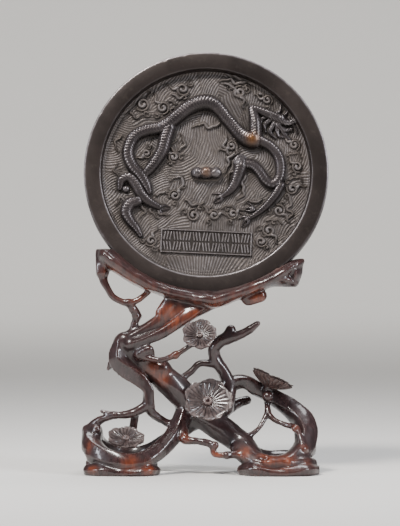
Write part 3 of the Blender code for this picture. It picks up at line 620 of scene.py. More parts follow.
def flower(shell, middle, facing, radius, rise, seed, petals=5, ribs=6):
    """Petals and a seed cup. A petal is a function of its reach out (0 to 1) and its turn
    (-1 to 1): a dish that rises to the rim, ribbed by grooves that fan from the middle, with a
    rounded rim, and each petal's one side laid over its neighbour."""
    dice = np.random.default_rng(seed)
    way = Vector(facing).normalized()
    spin = np.array(Vector((0, 0, 1)).rotation_difference(way).to_matrix())
    centre = tree([(*middle, 0)])[0, :3]
    size = radius * TREE_UNIT

    def place(points):
        return centre + points @ spin.T

    across = 57
    out = np.linspace(0.06, 1.0, 26)
    turn = np.linspace(-1, 1, across)
    for petal in range(petals):
        facing_angle = 2 * math.pi * (petal + 0.04 * dice.uniform(-1, 1)) / petals
        wide = math.pi / petals * 1.17
        reach_to = size * dice.uniform(0.95, 1.0)
        edge = (1 - 0.17 * np.abs(turn) ** 3) * (1 - 0.018 * np.cos(turn * math.pi * ribs / 2))
        o, t = np.meshgrid(out, turn, indexing="ij")
        reach = reach_to * o * edge[None, :] ** (o ** 2)
        angle = facing_angle + wide * t * (1 - 0.04 * o ** 3)
        dish = size * rise * o ** 1.8 + 0.30 * t * o + 0.25
        groove_depth = 0.38 * step_up(o, 0.12, 0.35) * (1 - 0.35 * step_up(o, 0.90, 1.0))
        fan = t + 0.02 * np.sin(9 * o)
        rib = -groove_depth * (1 - np.abs(np.sin(ribs / 2 * math.pi * fan))) ** 2.2
        wave = 0.10 * o ** 3 * np.sin(5 * t + petal * 2.1)
        top = dish + rib + wave + 0.18 * o ** 6 * (1 - t ** 2)
        thick = 0.75 + 0.75 * (1 - o)
        bottom = top - thick * np.sqrt(np.clip(1 - (1.02 * t) ** 6, 0.03, 1)) - 0.3
        upper = np.stack([reach * np.cos(angle), reach * np.sin(angle), top], -1)
        lower = np.stack([reach * 0.985 * np.cos(angle), reach * 0.985 * np.sin(angle),
                          bottom], -1)
        ring = np.concatenate([upper, lower[:, ::-1]], axis=1)
        # Each petal is darkened by its painted shade and in its rib grooves; the ribs and rim
        # towards its tip carry a painted highlight in the pale edge colour.
        steep = step_up(-rib, 0.04, 0.24)
        shade = PETAL_PAINTED_SHADES[petal % len(PETAL_PAINTED_SHADES)]
        dark = np.concatenate([shade + steep, 0.05 + 0.6 * steep[:, ::-1]], axis=1)
        ridge = step_up(o, 0.5, 1.0) * (1 - step_up(-rib, 0.02, 0.12))
        shine = np.concatenate([ridge, ridge[:, ::-1]], axis=1)
        shell.add_tube(place(ring.reshape(-1, 3)).reshape(ring.shape),
                       hollow=np.clip(dark, 0, 1) * 0.85, edge=shine * 0.6,
                       warm=np.concatenate([np.zeros_like(t), 0.15 * np.ones_like(t)], axis=1))
    # The cup: a profile turned round the flower's axis, with a raised rim of beads.
    profile = smooth_rows(np.array(CUP) * size / 9.0, 4)
    profile[:, 0] = np.maximum(profile[:, 0], 0.0005)
    sides = 40
    spins = 2 * math.pi * np.arange(sides) / sides
    bead = 1 + 0.07 * np.cos(10 * spins)[None, :] * step_up(profile[:, 0], 0.5, 1.2)[:, None]
    cup = np.stack([profile[:, :1] * np.cos(spins)[None, :] * bead,
                    profile[:, :1] * np.sin(spins)[None, :] * bead,
                    profile[:, 1:2] + 0.35 + 0 * bead], -1)
    # The top of the cup carries the pale painted highlight, and its lower part is darker.
    high = np.broadcast_to(step_up(profile[:, 1:2], 0.4, 1.2), bead.shape)
    shell.add_tube(place(cup[::-1].reshape(-1, 3)).reshape(cup.shape),
                   edge=high[::-1] * 0.8, hollow=(1 - high[::-1]) * 0.7,
                   warm=np.full(bead.shape, 0.15))


# The mirror's relief: right and up from its centre, in forty-sevenths of the field

BODY_RADIUS = 3.1
# The dragon's body and limbs. Each: path, radii spread along it, and the side that carries
# the spine, 1 for left and -1 for right.
DRAGON = [
    ([(20.8, 15), (18, 15.8), (15, 18), (12.4, 21), (9.4, 24.6), (6.6, 28.2), (3.6, 31), (0, 32.2),
      (-4, 31.6), (-8.3, 29.5), (-12.1, 26.5), (-15.5, 23.6), (-19.5, 20.8)],
     (4.1, 3.8, 3.2, 2.9, 2.85, 3.0, 3.4, 3.7, 3.7, 3.5, 3.3, 3.2, 3.1), -1),
    ([(-17, 22), (-21.5, 20.4), (-26.9, 19.4), (-31.6, 17.2), (-34.3, 12.7), (-34.8, 8),
      (-32.8, 3.2), (-29.3, -0.7), (-26.6, -5.2), (-25.4, -8.4)],
     (3.1, 2.95, 2.9, 2.9, 2.85, 2.8, 2.7, 2.6, 2.2, 1.4), -1),
    ([(-16.5, 21), (-18.2, 15.6), (-19.5, 10.6), (-21.9, 6.4), (-24.8, 2.4), (-27.4, -0.6)],
     (3.2, 3.1, 2.9, 2.7, 2.5, 1.9), -1),
    ([(21.8, 14.8), (22.1, 18.5), (21.9, 23.5), (20.6, 29.4)], (3.6, 3.1, 2.8, 1.7), 1),
    ([(20.6, 29.6), (24.2, 28.4), (28, 26.7), (32, 25.3)], (1.7, 1.9, 2.1, 2.1), 1),
    ([(24.4, 14.6), (28.6, 12.2), (32, 8.2), (33.3, 3), (32.6, -2), (29.7, -4.9), (26.6, -3.2),
      (24, 0.6), (21, 3.6), (17, 4.4)], (2.5, 2.35, 2.4, 2.4, 2.4, 2.4, 2.4, 2.4, 2.5, 2.5), 1),
    ([(15.6, 3.6), (14.4, -0.5), (12.8, -4.8), (10.6, -8), (7.6, -10.4)],
     (3.1, 2.7, 2.3, 1.8, 1.1), -1),
    ([(33.4, -5.6), (30.6, -10.2), (27.2, -14.4), (23.2, -17.9), (19.2, -20.5)],
     (2.0, 2.0, 1.7, 1.4, 1.0), -1),
    ([(-38.6, -6.8), (-37.8, -3.2), (-34.5, -1.9), (-31.5, -5), (-29, -9.5), (-25.5, -13),
      (-21, -15.4)], (1.2, 1.9, 2.3, 2.5, 2.4, 2.1, 1.4), 1),
    ([(-30.6, -12.8), (-34, -14), (-35.6, -17.6), (-33.8, -21.6), (-31.2, -24.8), (-29.3, -28)],
     (2.5, 2.9, 2.7, 2.2, 1.8, 1.1), -1),
]
# The haunch and the shoulder are balls: right and up, and radius in millimetres.
HAUNCH = (15.4, 4.9, 3.3)
SHOULDER = (-35.8, -7.2, 1.7)
# Where hands have rubbed the dragon bare: right and up, and reach in millimetres.
RUBBED = [(20.6, 15.4, 2.4)]
# Claws: root, the way they point in degrees, and length.
CLAWS = [((7.6, -10.4), 200, 4.4), ((19.2, -20.5), 215, 4.4), ((-21, -15.4), 340, 4.4),
         ((21, -16.5), 160, 3.6)]
# Clouds: right and up, size, and which way they curl.
CLOUDS = [(-28.5, 31.5, 3.4, 1), (-10.5, 38.5, 3.3, -1), (-19.5, 30, 3.3, 1), (15, 37, 3.2, 1),
          (22.5, 38, 3.0, -1), (27.5, 33.5, 2.6, 1), (-26.5, 9, 2.4, -1), (39.5, 13, 2.8, 1),
          (40.8, 3, 2.8, -1), (38.5, -7, 2.8, 1), (32.5, -17, 3.0, -1), (28, -26, 3.2, 1),
          (-5.5, -19, 3.2, 1), (3.5, -19, 2.8, -1), (12, -18.5, 2.6, 1), (-14, -10, 2.8, -1),
          (11.5, 12.5, 2.6, 1), (-14.5, 7.5, 2.6, -1), (-24.5, -30.5, 2.8, 1),
          (24.5, -31, 2.8, -1)]
# The clouds keep this far from the panel, to its sides and above it, in millimetres.
PANEL_REACH = 22
PANEL_TOP = -24.5
# Thin wisps of flame and mane: a path, then the first and last radius.
WISPS = [
    ([(-6, 21), (-2, 22.6), (2, 20.8), (6, 22.8)], 0.55, 0.8),
    ([(8.5, 41), (12, 39.5), (13.5, 36), (17, 34.5), (18.5, 31.5)], 0.9, 0.5),
    ([(6, 42), (10, 43), (14, 41), (18, 42)], 0.5, 0.9),
    ([(-12, 10.5), (-9.5, 14), (-11.5, 18)], 0.8, 0.4),
    ([(-13, 9), (-16, 12), (-13, 15.5)], 0.7, 0.4),
    ([(9, 16), (8, 12), (10.5, 8.5), (9.5, 6)], 0.8, 0.5),
    ([(13, 14), (14, 10.5), (12, 7.5)], 0.7, 0.4),
    ([(12.5, 9), (10, 6.5), (9.8, 3), (8, 0)], 0.9, 0.5),
    ([(13.5, 2), (10, -1), (10.2, -4.5)], 0.8, 0.4),
    ([(17.5, -1), (16, -5), (17, -9), (14, -12)], 0.9, 0.5),
    ([(24.5, -12), (21.5, -13.5), (19.5, -12), (17, -14)], 0.8, 0.4),
    ([(36.5, -9.5), (38, -13), (36.5, -16), (38.5, -19), (35.5, -21)], 0.7, 0.5),
    ([(-16, -3.5), (-13, -1.5), (-10, -4), (-12, -7)], 0.6, 0.8),
    ([(-22, -10), (-18.5, -8), (-15.5, -9.5)], 0.8, 0.5),
    ([(-9, -12), (-5, -14.5), (-1, -13.2)], 0.8, 0.5),
    ([(-1, -15), (1.5, -17.5), (5.5, -16)], 0.7, 0.4),
    ([(7, -16), (10, -14.5), (13, -16.5)], 0.6, 0.4),
    ([(15.5, -18), (18.5, -20.5), (22, -19.5)], 0.6, 0.4),
    ([(-38, 17), (-41, 13.5), (-39.5, 10)], 0.6, 0.4),
    ([(-37.5, -2), (-41, 0.5), (-40, 4)], 0.5, 0.35),
    ([(-35, -13), (-38.5, -11.5), (-40, -14.5)], 0.8, 0.4),
    ([(-30, -12.5), (-27.5, -17), (-29, -20)], 0.8, 0.4),
    ([(-22, -15), (-20, -18.5), (-16.5, -19)], 0.8, 0.45),
    ([(-24, -13.5), (-24.5, -17.5), (-21.5, -20.5)], 0.7, 0.4),
    ([(-29, 40), (-25, 37.5), (-26.5, 34)], 0.6, 0.4),
    ([(-34, 27.5), (-31, 25.5), (-27.5, 27)], 0.7, 0.4),
    ([(-15, 36), (-11.5, 34.5), (-8, 36)], 0.8, 0.5),
    ([(-16.5, 33), (-13, 31.5)], 0.7, 0.4),
    ([(35, 31), (31.5, 34), (32, 37)], 0.6, 0.4),
    ([(36.5, 8), (40, 9.5), (42.5, 7)], 0.6, 0.4),
    ([(37.5, -3), (41, -1.5), (43, -4)], 0.6, 0.4),
    ([(27, -21.5), (31, -21), (34, -23)], 0.7, 0.4),
]
# Head and mane, fused in one block: path, first and last radius.
HEAD_LIMBS = [
    ([(29, 26.2), (33, 24.3), (36.5, 22.9), (39.8, 23.8)], 1.9, 1.15),
    ([(32, 21.8), (35, 19.6), (38.4, 20.1)], 1.35, 0.75),
    ([(32.5, 26.4), (35.2, 26.5), (36.9, 28.9)], 1.0, 0.55),
    ([(31.2, 27.2), (33.2, 28.6), (33.4, 31.0)], 0.9, 0.45),
    ([(30.4, 22.6), (28.6, 18.8), (31.2, 16)], 1.2, 0.5),
    ([(31.6, 20.6), (32.4, 17.2), (35.4, 16.4)], 1.0, 0.5),
    ([(33.6, 19.8), (35.8, 16.9), (38.6, 14.2)], 0.9, 0.45),
    ([(28.8, 24.4), (26.2, 22.2), (26.6, 18.9)], 1.1, 0.5),
    ([(27.2, 25.8), (24.9, 24.8), (24.6, 22.4)], 0.9, 0.45),
    ([(38.2, 22.4), (40.3, 20.9), (40.9, 18.2)], 0.55, 0.4),
    ([(36.2, 24.6), (37.9, 24.9), (39.4, 25.6)], 0.75, 0.45),
]
# Skull, cheek, snout and brow: right and up, radii, and height over the field.
HEAD_BALLS = [((33.2, 24.2), (3.4, 2.5, 2.5), 0.0), ((31.6, 26.0), (1.8, 1.1, 1.2), 1.5),
              ((39.4, 24.2), (1.25, 1.1, 1.0), 0.9), ((33.9, 25.3), (0.75, 0.75, 0.7), 2.1)]
# Nostril and mouth, cut out of the head: right, up and height, then radii and softness.
HEAD_CUTS = [((39.2, 24.6, 2.0), (0.35, 0.35, 0.4), 0.2),
             ((36.4, 21.2, 1.6), (1.7, 0.45, 1.6), 0.3)]
# Wave patches: right and up, the way the lines run in degrees, and how they bend.
PATCHES = [
    (2, 43, 58, 0.02), (-6, 44, 62, 0.03), (-16, 41, 52, 0.04), (-21, 37, 62, 0.03),
    (-30, 37, 48, 0.03), (-35, 29, 38, 0.04), (-27, 24.5, 14, 0.05), (-38, 21, -18, 0.06),
    (-42, 14, -10, 0.12), (-43, 6, 0, 0.14), (-41, -4, 20, 0.12), (-43, -12, 40, 0.05),
    (-39, -22, 46, 0.03), (-34, -31, 50, 0.02), (-27, -26, 52, 0.03), (-20, -24, 30, 0.04),
    (-13, -25, 12, 0.05), (-28, 14, 60, 0.07), (-28, 5, 40, 0.1), (-14, 27, 40, 0.03),
    (-7, 25, 20, 0.03), (-8, 17, 74, 0.05), (-1.5, 15, 84, -0.04), (4, 17, 100, -0.05),
    (-2, 26, 78, 0.04), (-18, 13, 118, 0.06), (-17, 2, 12, 0.08), (-12, 0, 6, 0.07),
    (-22, -3, 28, 0.1), (-9, -9, 66, 0.05), (-1, -8, 60, 0.04), (4, -11, 62, 0.04),
    (-3, -25, 80, 0.03), (7, -25, 84, 0.04), (16, -24, 88, 0.06), (19, -8, 56, 0.06),
    (24, -7, 50, 0.08), (29, 4, 60, 0.1), (18, 10, 20, 0.06), (8, 5, 70, 0.06),
    (13, 28, 120, 0.03), (17, 24, 108, 0.03), (13, 43, 150, 0.03), (24, 33, 80, 0.04),
    (31, 34, 92, 0.03), (37, 29, 72, 0.03), (42, 19, 62, 0.04), (44, 8, 76, 0.05),
    (43, -3, 8, 0.08), (41, -14, 48, 0.04), (36, -25, 52, 0.03), (30, -12, 44, 0.05),
    (31, -31, 46, 0.03), (-30, -8, 30, 0.08), (28, 20, 70, 0.05),
]


def relief_rows(path, radii, lift=0.8):
    """Rows of right, up, lift and radius in millimetres, from a path in relief units and radii
    that are spread evenly along it."""
    path = np.asarray(path, float) * RELIEF_UNIT
    radius = np.interp(np.linspace(0, 1, len(path)), np.linspace(0, 1, len(radii)), radii)
    return np.column_stack([path, np.minimum(lift, 0.6 * radius), radius])


def scales(along, angle, radius, spine):
    """Height of the dragon's skin in millimetres. Rows of scales: a saw along the body, whose
    teeth curve back across each row and stand half a tooth apart in neighbouring rows. Towards
    the belly they give way to cross plates, and the spine is a ridge of beads."""
    lane = angle * 8 / math.pi
    row = np.floor(lane)
    across = lane - row - 0.5
    tooth = (along / 1.35 + 0.5 * (row % 2) + 0.42 * (2 * across) ** 2) % 1.0
    saw = np.where(tooth < 0.86, tooth / 0.86, (1 - tooth) / 0.14)
    plates = np.abs(np.sin(math.pi * along / 1.25)) ** 0.7
    size = np.clip(radius / BODY_RADIUS, 0.45, 1.0)
    ridge = math.radians(58) if spine > 0 else math.radians(122)
    away = np.abs(angle - ridge)
    belly = step_up(away, 1.25, 1.55)
    skin = (1 - belly) * (saw - 0.5) * 0.17 + belly * (plates - 0.6) * 0.12
    bead = 0.5 + 0.5 * np.cos(2 * math.pi * along / 1.25)
    beads = np.exp(-(away / 0.17) ** 2) * (0.12 + 0.36 * bead)
    # The shine is abraded bronze and painted highlight together: on the raised edges of the scales
    # and, most of all, on the beads of the spine.
    shine = 0.16 * saw ** 3 * (1 - belly) + 1.1 * bead ** 2 * np.exp(-(away / 0.2) ** 2)
    return size * (skin + beads), np.clip(shine, 0, 1)


def add_relief_tube(shell, rows, spacing, sides, spine=None, rub=None):
    """A tube carried along a path over the field. Its section is an ellipse whose points lie
    closer together on the seen side, and its ends are rounded by quarter circles."""
    path, along = even_rows(smooth_rows(rows, 8), spacing)
    way = headings(path)
    steps = np.radians([88, 70, 48, 24])
    first, last = path[0], path[-1]
    head = np.array([(*(first[:2] - way[0] * first[3] * math.sin(a)), first[2],
                      first[3] * math.cos(a)) for a in steps])
    tail = np.array([(*(last[:2] + way[-1] * last[3] * math.sin(a)), last[2],
                      last[3] * math.cos(a)) for a in steps[::-1]])
    path = np.vstack([head, path, tail])
    way = np.vstack([np.repeat(way[:1], 4, 0), way, np.repeat(way[-1:], 4, 0)])
    along = np.concatenate([along[0] - first[3] * np.sin(steps), along,
                            along[-1] + last[3] * np.sin(steps[::-1])])
    seen = int(sides * 0.78)
    angle = np.concatenate([np.linspace(-0.35, math.pi + 0.35, seen, endpoint=False),
                            np.linspace(math.pi + 0.35, 2 * math.pi - 0.35, sides - seen,
                                        endpoint=False)])
    rise, wear = np.zeros((len(path), sides)), np.zeros((len(path), sides))
    if spine is not None:
        rise, wear = scales(along[:, None], angle[None, :], path[:, 3:4], spine)
        fade = np.concatenate([np.cos(steps), np.ones(len(path) - 8), np.cos(steps[::-1])])
        rise = rise * fade[:, None] * step_up(np.sin(angle), -0.3, 0.1)[None, :]
    left = left_of(way)
    reach = path[:, 3:4] + rise
    cos, sin = np.cos(angle)[None, :], np.sin(angle)[None, :]
    flat = path[:, None, :2] + left[:, None, :] * (reach * cos)[:, :, None]
    up = np.maximum(FIELD_LEVEL + path[:, 2:3] + reach * sin, TUBE_FOOT)
    grid = np.concatenate([flat, up[:, :, None]], -1)
    high = step_up(up - FIELD_LEVEL, 0.8, 3.2)
    # Painted shade: the side of each tube that faces down the mirror is painted darker and loses
    # most of its brightening, as if light fell from above.
    shaded_underside = step_up(-left[:, 1:2] * cos, 0.15, 0.85)
    polish = np.zeros_like(up)
    if rub is not None:
        for u, v, reach_mm in rub:
            gap = np.hypot(grid[..., 0] - u * RELIEF_UNIT, grid[..., 1] - v * RELIEF_UNIT)
            polish = np.maximum(polish, np.exp(-(gap / reach_mm) ** 2) * step_up(up, 0.2, 1.4))
    if spine is None:
        worn_and_lit = 0.30 * step_up(up - FIELD_LEVEL, 0.8, 1.35) * (1 - 0.6 * shaded_underside)
        dark = np.maximum(1 - step_up(up - FIELD_LEVEL, 0.1, 0.95), 0.6 * shaded_underside)
    else:
        worn_and_lit = (0.03 * high + 0.8 * wear) * (1 - 0.85 * shaded_underside)
        dark = np.maximum(1 - step_up(up - FIELD_LEVEL, -0.2, 0.9), 0.85 * shaded_underside)
    shell.add_tube(grid, wear=np.clip(worn_and_lit, 0, 1), hollow=dark, rub=polish)


def clear_of_edges(row):
    """Whether a cloud's curl stays inside the field's wall and off the framed panel."""
    side = np.abs(row[:, 0]).min() >= PANEL_REACH or abs(row[:, 0].mean()) >= PANEL_REACH
    above = row[:, 1].min() >= PANEL_TOP
    inside = np.hypot(row[:, 0], row[:, 1]).max() < FIELD_RADIUS - 1.6
    return inside and (side or above)


def cloud_curls():
    """Rows for every cloud: a big spiral, a smaller one rolled the other way beside it, and a
    tail that trails off, each a spiral whose radius shrinks evenly as it turns."""
    dice = np.random.default_rng(7)
    rows = []
    for right, up, size, hand in CLOUDS:
        start = dice.uniform(0, 2 * math.pi)
        for part, (share, offset, sense) in enumerate(((1.0, 0.0, 1), (0.62, 1.35, -1),
                                                       (0.5, -1.3, 1))):
            way = start + 1.2 * part
            middle = np.array([right + size * offset * math.cos(way),
                               up + size * offset * math.sin(way)])
            t = np.linspace(0, 1, 16)
            rounds = 1.35 if part == 0 else 0.85
            turn = start + part * 2.1 + hand * sense * t * 2 * math.pi * rounds
            reach = size * 0.95 * share * (1 - 0.76 * t ** 0.9)
            path = middle + np.column_stack([reach * np.cos(turn), reach * np.sin(turn)])
            thick = (0.5, 0.85) if part == 0 else (0.32, 0.62)
            rows.append(relief_rows(path, thick, 0.45))
        way = start + 3.6
        t = np.linspace(0, 1, 5)[:, None]
        tail = (np.array([right, up]) + size * (0.8 + 1.5 * t)
                * np.array([math.cos(way), math.sin(way)])
                + size * 0.28 * np.sin(t * 5.5) * np.array([-math.sin(way), math.cos(way)]))
        rows.append(relief_rows(tail, (0.85, 0.35), 0.45))
    return [row for row in rows if clear_of_edges(row)]


def wisp_rows():
    """Rows for each wisp: its path, swung from side to side by a sine so that it licks like a
    flame, and thinner at both ends."""
    rows = []
    for path, first, last in WISPS:
        line = smooth_rows(relief_rows(path, (first, last), 0.45), 8)
        way = headings(line)
        along = run_along(line)
        swing = 0.55 * np.sin(2 * math.pi * along / 4.4) * np.sin(math.pi * along / along[-1])
        line[:, :2] += swing[:, None] * left_of(way)
        line[:, 3] *= 0.75 + 0.3 * np.sin(math.pi * along / along[-1])
        rows.append(line[::2])
    return rows


def haunch_rows():
    """A spiral laid on the dragon's haunch, from its edge in and up to its middle."""
    t = np.linspace(0, 1, 24)
    turn = 0.8 + t * 2 * math.pi * 1.6
    reach = 3.0 * (1 - 0.88 * t)
    right, up, radius = HAUNCH
    lift = 0.2 + np.sqrt(radius ** 2 - reach ** 2) - 0.15
    return np.column_stack([right * RELIEF_UNIT + reach * np.cos(turn),
                            up * RELIEF_UNIT + reach * np.sin(turn), lift, 0.72 - 0.22 * t])


def claw_rows():
    """Rows for each claw: three curved toes that fan from its root, each ending in a talon."""
    rows = []
    for (right, up), aim, size in CLAWS:
        for spread in (-52, -8, 40):
            turn = math.radians(aim + spread)
            bend = math.radians(aim + spread + 38 * (1 if spread < 0 else -1))
            knee = (right + size * 0.55 * math.cos(turn), up + size * 0.55 * math.sin(turn))
            tip = (knee[0] + size * 0.62 * math.cos(bend), knee[1] + size * 0.62 * math.sin(bend))
            rows.append(relief_rows([(right, up), knee, tip], (0.95, 0.35), 0.5))
    return rows


def nearness(axis_x, axis_y, paths, spacing=0.5):
    """Least distance from each point of a flat grid to the tubes along the paths, negative
    under them, worked out only within six millimetres of each point of a path."""
    gap = np.full((len(axis_x), len(axis_y)), FAR)
    step = axis_x[1] - axis_x[0]
    for rows in paths:
        path, _ = even_rows(smooth_rows(rows, 6), spacing)
        for x, y, _, radius in path:
            reach = radius + FAR / 2
            i = np.clip(((np.array([x - reach, x + reach]) - axis_x[0]) / step).astype(int),
                        0, len(axis_x))
            j = np.clip(((np.array([y - reach, y + reach]) - axis_y[0]) / step).astype(int),
                        0, len(axis_y))
            part = (slice(*i), slice(*j))
            here = np.hypot(axis_x[part[0], None] - x, axis_y[None, part[1]] - y) - radius
            gap[part] = np.minimum(gap[part], here)
    return gap


def wave_lines(x, y, pitch):
    """Height of the wave lines, 0 to 1, and how near a point is to a patch's edge. Each patch
    is the ground nearest to its seed, once the ground is gently warped. Its lines are arcs
    about a point beside the seed: the cosine of the distance from it over the pitch."""
    warp = np.stack([x, y, np.zeros_like(x)], -1)
    wx = x + 1.6 * mottle(warp, 13.0, 21)
    wy = y + 1.6 * mottle(warp, 13.0, 22)
    seeds = np.array(PATCHES)
    nearest = np.full(x.shape, 1e9)
    second = np.full(x.shape, 1e9)
    line = np.zeros(x.shape)
    sway = 0.35 * mottle(warp, 9.0, 23)
    for index, (u, v, way, bend) in enumerate(seeds):
        u, v = u * RELIEF_UNIT, v * RELIEF_UNIT
        gap = np.hypot(wx - u, wy - v)
        turn = math.radians(way)
        arc = 1 / bend * (1 if index % 2 else -1)
        cx, cy = u - math.sin(turn) * arc, v + math.cos(turn) * arc
        phase = (np.hypot(x - cx, y - cy) + sway) / (pitch * (1 + 0.12 * math.sin(index * 2.4)))
        ridge = 0.5 + 0.5 * np.cos(2 * math.pi * phase)
        closer = gap < nearest
        second = np.where(closer, nearest, np.minimum(second, gap))
        nearest = np.where(closer, gap, nearest)
        line = np.where(closer, ridge, line)
    border = step_up(second - nearest, 0.0, 1.1)
    # Below the panel the lines fan out like rays from a point below the rim.
    ray = np.arctan2(x + 4.0, y + 66.0)
    fan = 0.5 + 0.5 * np.cos(ray * 128)
    low = step_up(-y, 37.6, 38.2) * step_up(19 - np.abs(x), 0, 2)
    return line * (1 - low) + fan * low, border * (1 - low) + low


def build_field(step, pitch, depth):
    """The ground of the mirror: a height over each point of a square grid inside the rim, with
    a skirt and a flat base under it. The height is wave lines, gentle swells, banks beside the
    dragon and the clouds, and a fillet up the rim's wall."""
    count = int(2 * (FIELD_RADIUS + 0.4) / step) + 2
    axis = (np.arange(count) - (count - 1) / 2) * step
    x, y = np.meshgrid(axis, axis, indexing="ij")
    out = np.hypot(x, y)
    body = [relief_rows(path, radii) for path, radii, _ in DRAGON]
    thin = cloud_curls() + claw_rows() + wisp_rows()
    head = [relief_rows(path, radii) for path, *radii in HEAD_LIMBS]
    off_body = nearness(axis, axis, body + head)
    off_thin = nearness(axis, axis, thin, 0.4)
    line, border = wave_lines(x, y, pitch)
    flat = np.stack([x, y, np.zeros_like(x)], -1)
    calm = step_up(off_body, 0.1, 1.3) * step_up(off_thin, 0.0, 0.7)
    calm *= step_up(np.hypot(x / 7.6, y / 4.0), 0.9, 1.3)
    height = depth * (line ** 0.85 - 0.45) * (0.35 + 0.65 * border) * (0.25 + 0.75 * calm)
    height += 0.12 * mottle(flat, 14.0, 31) + 0.05 * mottle(flat, 3.2, 32)
    height += 0.42 * np.exp(-np.clip(off_body, 0, None) / 0.55)
    height += 0.26 * np.exp(-np.clip(off_thin, 0, None) / 0.40)
    height += 0.50 * np.exp(-(np.hypot(x / 6.8, y / 3.0) - 1).clip(0) / 0.25)
    wall = FIELD_RADIUS - 0.9 - out
    height += 1.0 * np.exp(-np.clip(wall, 0, None) / 0.35)
    height += 0.10 * np.exp(-((wall - 1.6) / 0.45) ** 2)
    inside = out < FIELD_RADIUS + 0.25
    cell = inside[:-1, :-1] & inside[1:, :-1] & inside[:-1, 1:] & inside[1:, 1:]
    used = np.zeros(x.shape, bool)
    for i, j in ((0, 0), (1, 0), (0, 1), (1, 1)):
        used[i:count - 1 + i, j:count - 1 + j] |= cell
    number = np.full(x.shape, -1)
    number[used] = np.arange(used.sum())
    quads = np.stack([number[:-1, :-1][cell], number[1:, :-1][cell],
                      number[1:, 1:][cell], number[:-1, 1:][cell]], -1)
    points = np.column_stack([x[used], y[used], FIELD_LEVEL + height[used]])
    # Darker in the troughs of the wave lines, with painted shade on the ground next to the dragon
    # and the clouds; the ridges of the lines are painted lighter, partly as abrasion and partly as
    # painted highlight.
    dark = 0.55 * np.clip(0.62 - line, 0, 1) * calm
    dark = dark + 0.8 * np.exp(-np.clip(off_body, 0, None) / 1.1)
    dark = np.clip(dark + 0.55 * np.exp(-np.clip(off_thin, 0, None) / 0.45), 0, 1)
    worn_and_lit = 0.42 * step_up(line, 0.60, 1.0) * calm * (0.4 + 0.6 * border)
    worn_and_lit = worn_and_lit * (0.55 + 0.6 * step_up(mottle(flat, 24.0, 33), -0.5, 0.7))
    # The skirt: each edge that has a cell on one side alone drops to the base.
    edges = np.concatenate([quads[:, [0, 1]], quads[:, [1, 2]], quads[:, [2, 3]],
                            quads[:, [3, 0]]])
    code = edges.min(1).astype(np.int64) * len(points) + edges.max(1)
    _, first, times = np.unique(code, return_index=True, return_counts=True)
    rim = edges[first[times == 1]]
    rim_points, index = np.unique(rim, return_inverse=True)
    index = index.reshape(rim.shape) + len(points)
    base = points[rim_points].copy()
    base[:, 2] = FIELD_LEVEL - 0.9
    middle = np.array([[0.0, 0.0, FIELD_LEVEL - 0.9]])
    skirt = np.column_stack([rim[:, 1], rim[:, 0], index[:, 0], index[:, 1]])
    floor = np.column_stack([index[:, 1], index[:, 0],
                             np.full(len(rim), len(points) + len(base))])
    extra = np.zeros(len(base) + 1)
    shell = Shell()
    shell.add(np.vstack([points, base, middle]), np.vstack([quads, skirt]), floor,
              hollow=np.concatenate([dark[used], extra + 1]),
              wear=np.concatenate([worn_and_lit[used], extra]), rub=0.0)
    return shell


# Nicks in the rim's outer edge: angle round it in degrees, width and depth in millimetres.
NICKS = [(110.3, 0.55, 0.55), (100.7, 0.45, 0.45), (106.0, 0.3, 0.25), (83.0, 0.35, 0.2),
         (150.0, 0.5, 0.2), (212.0, 0.5, 0.25), (34.0, 0.4, 0.2), (308.0, 0.6, 0.25),
         (61.0, 0.3, 0.2)]


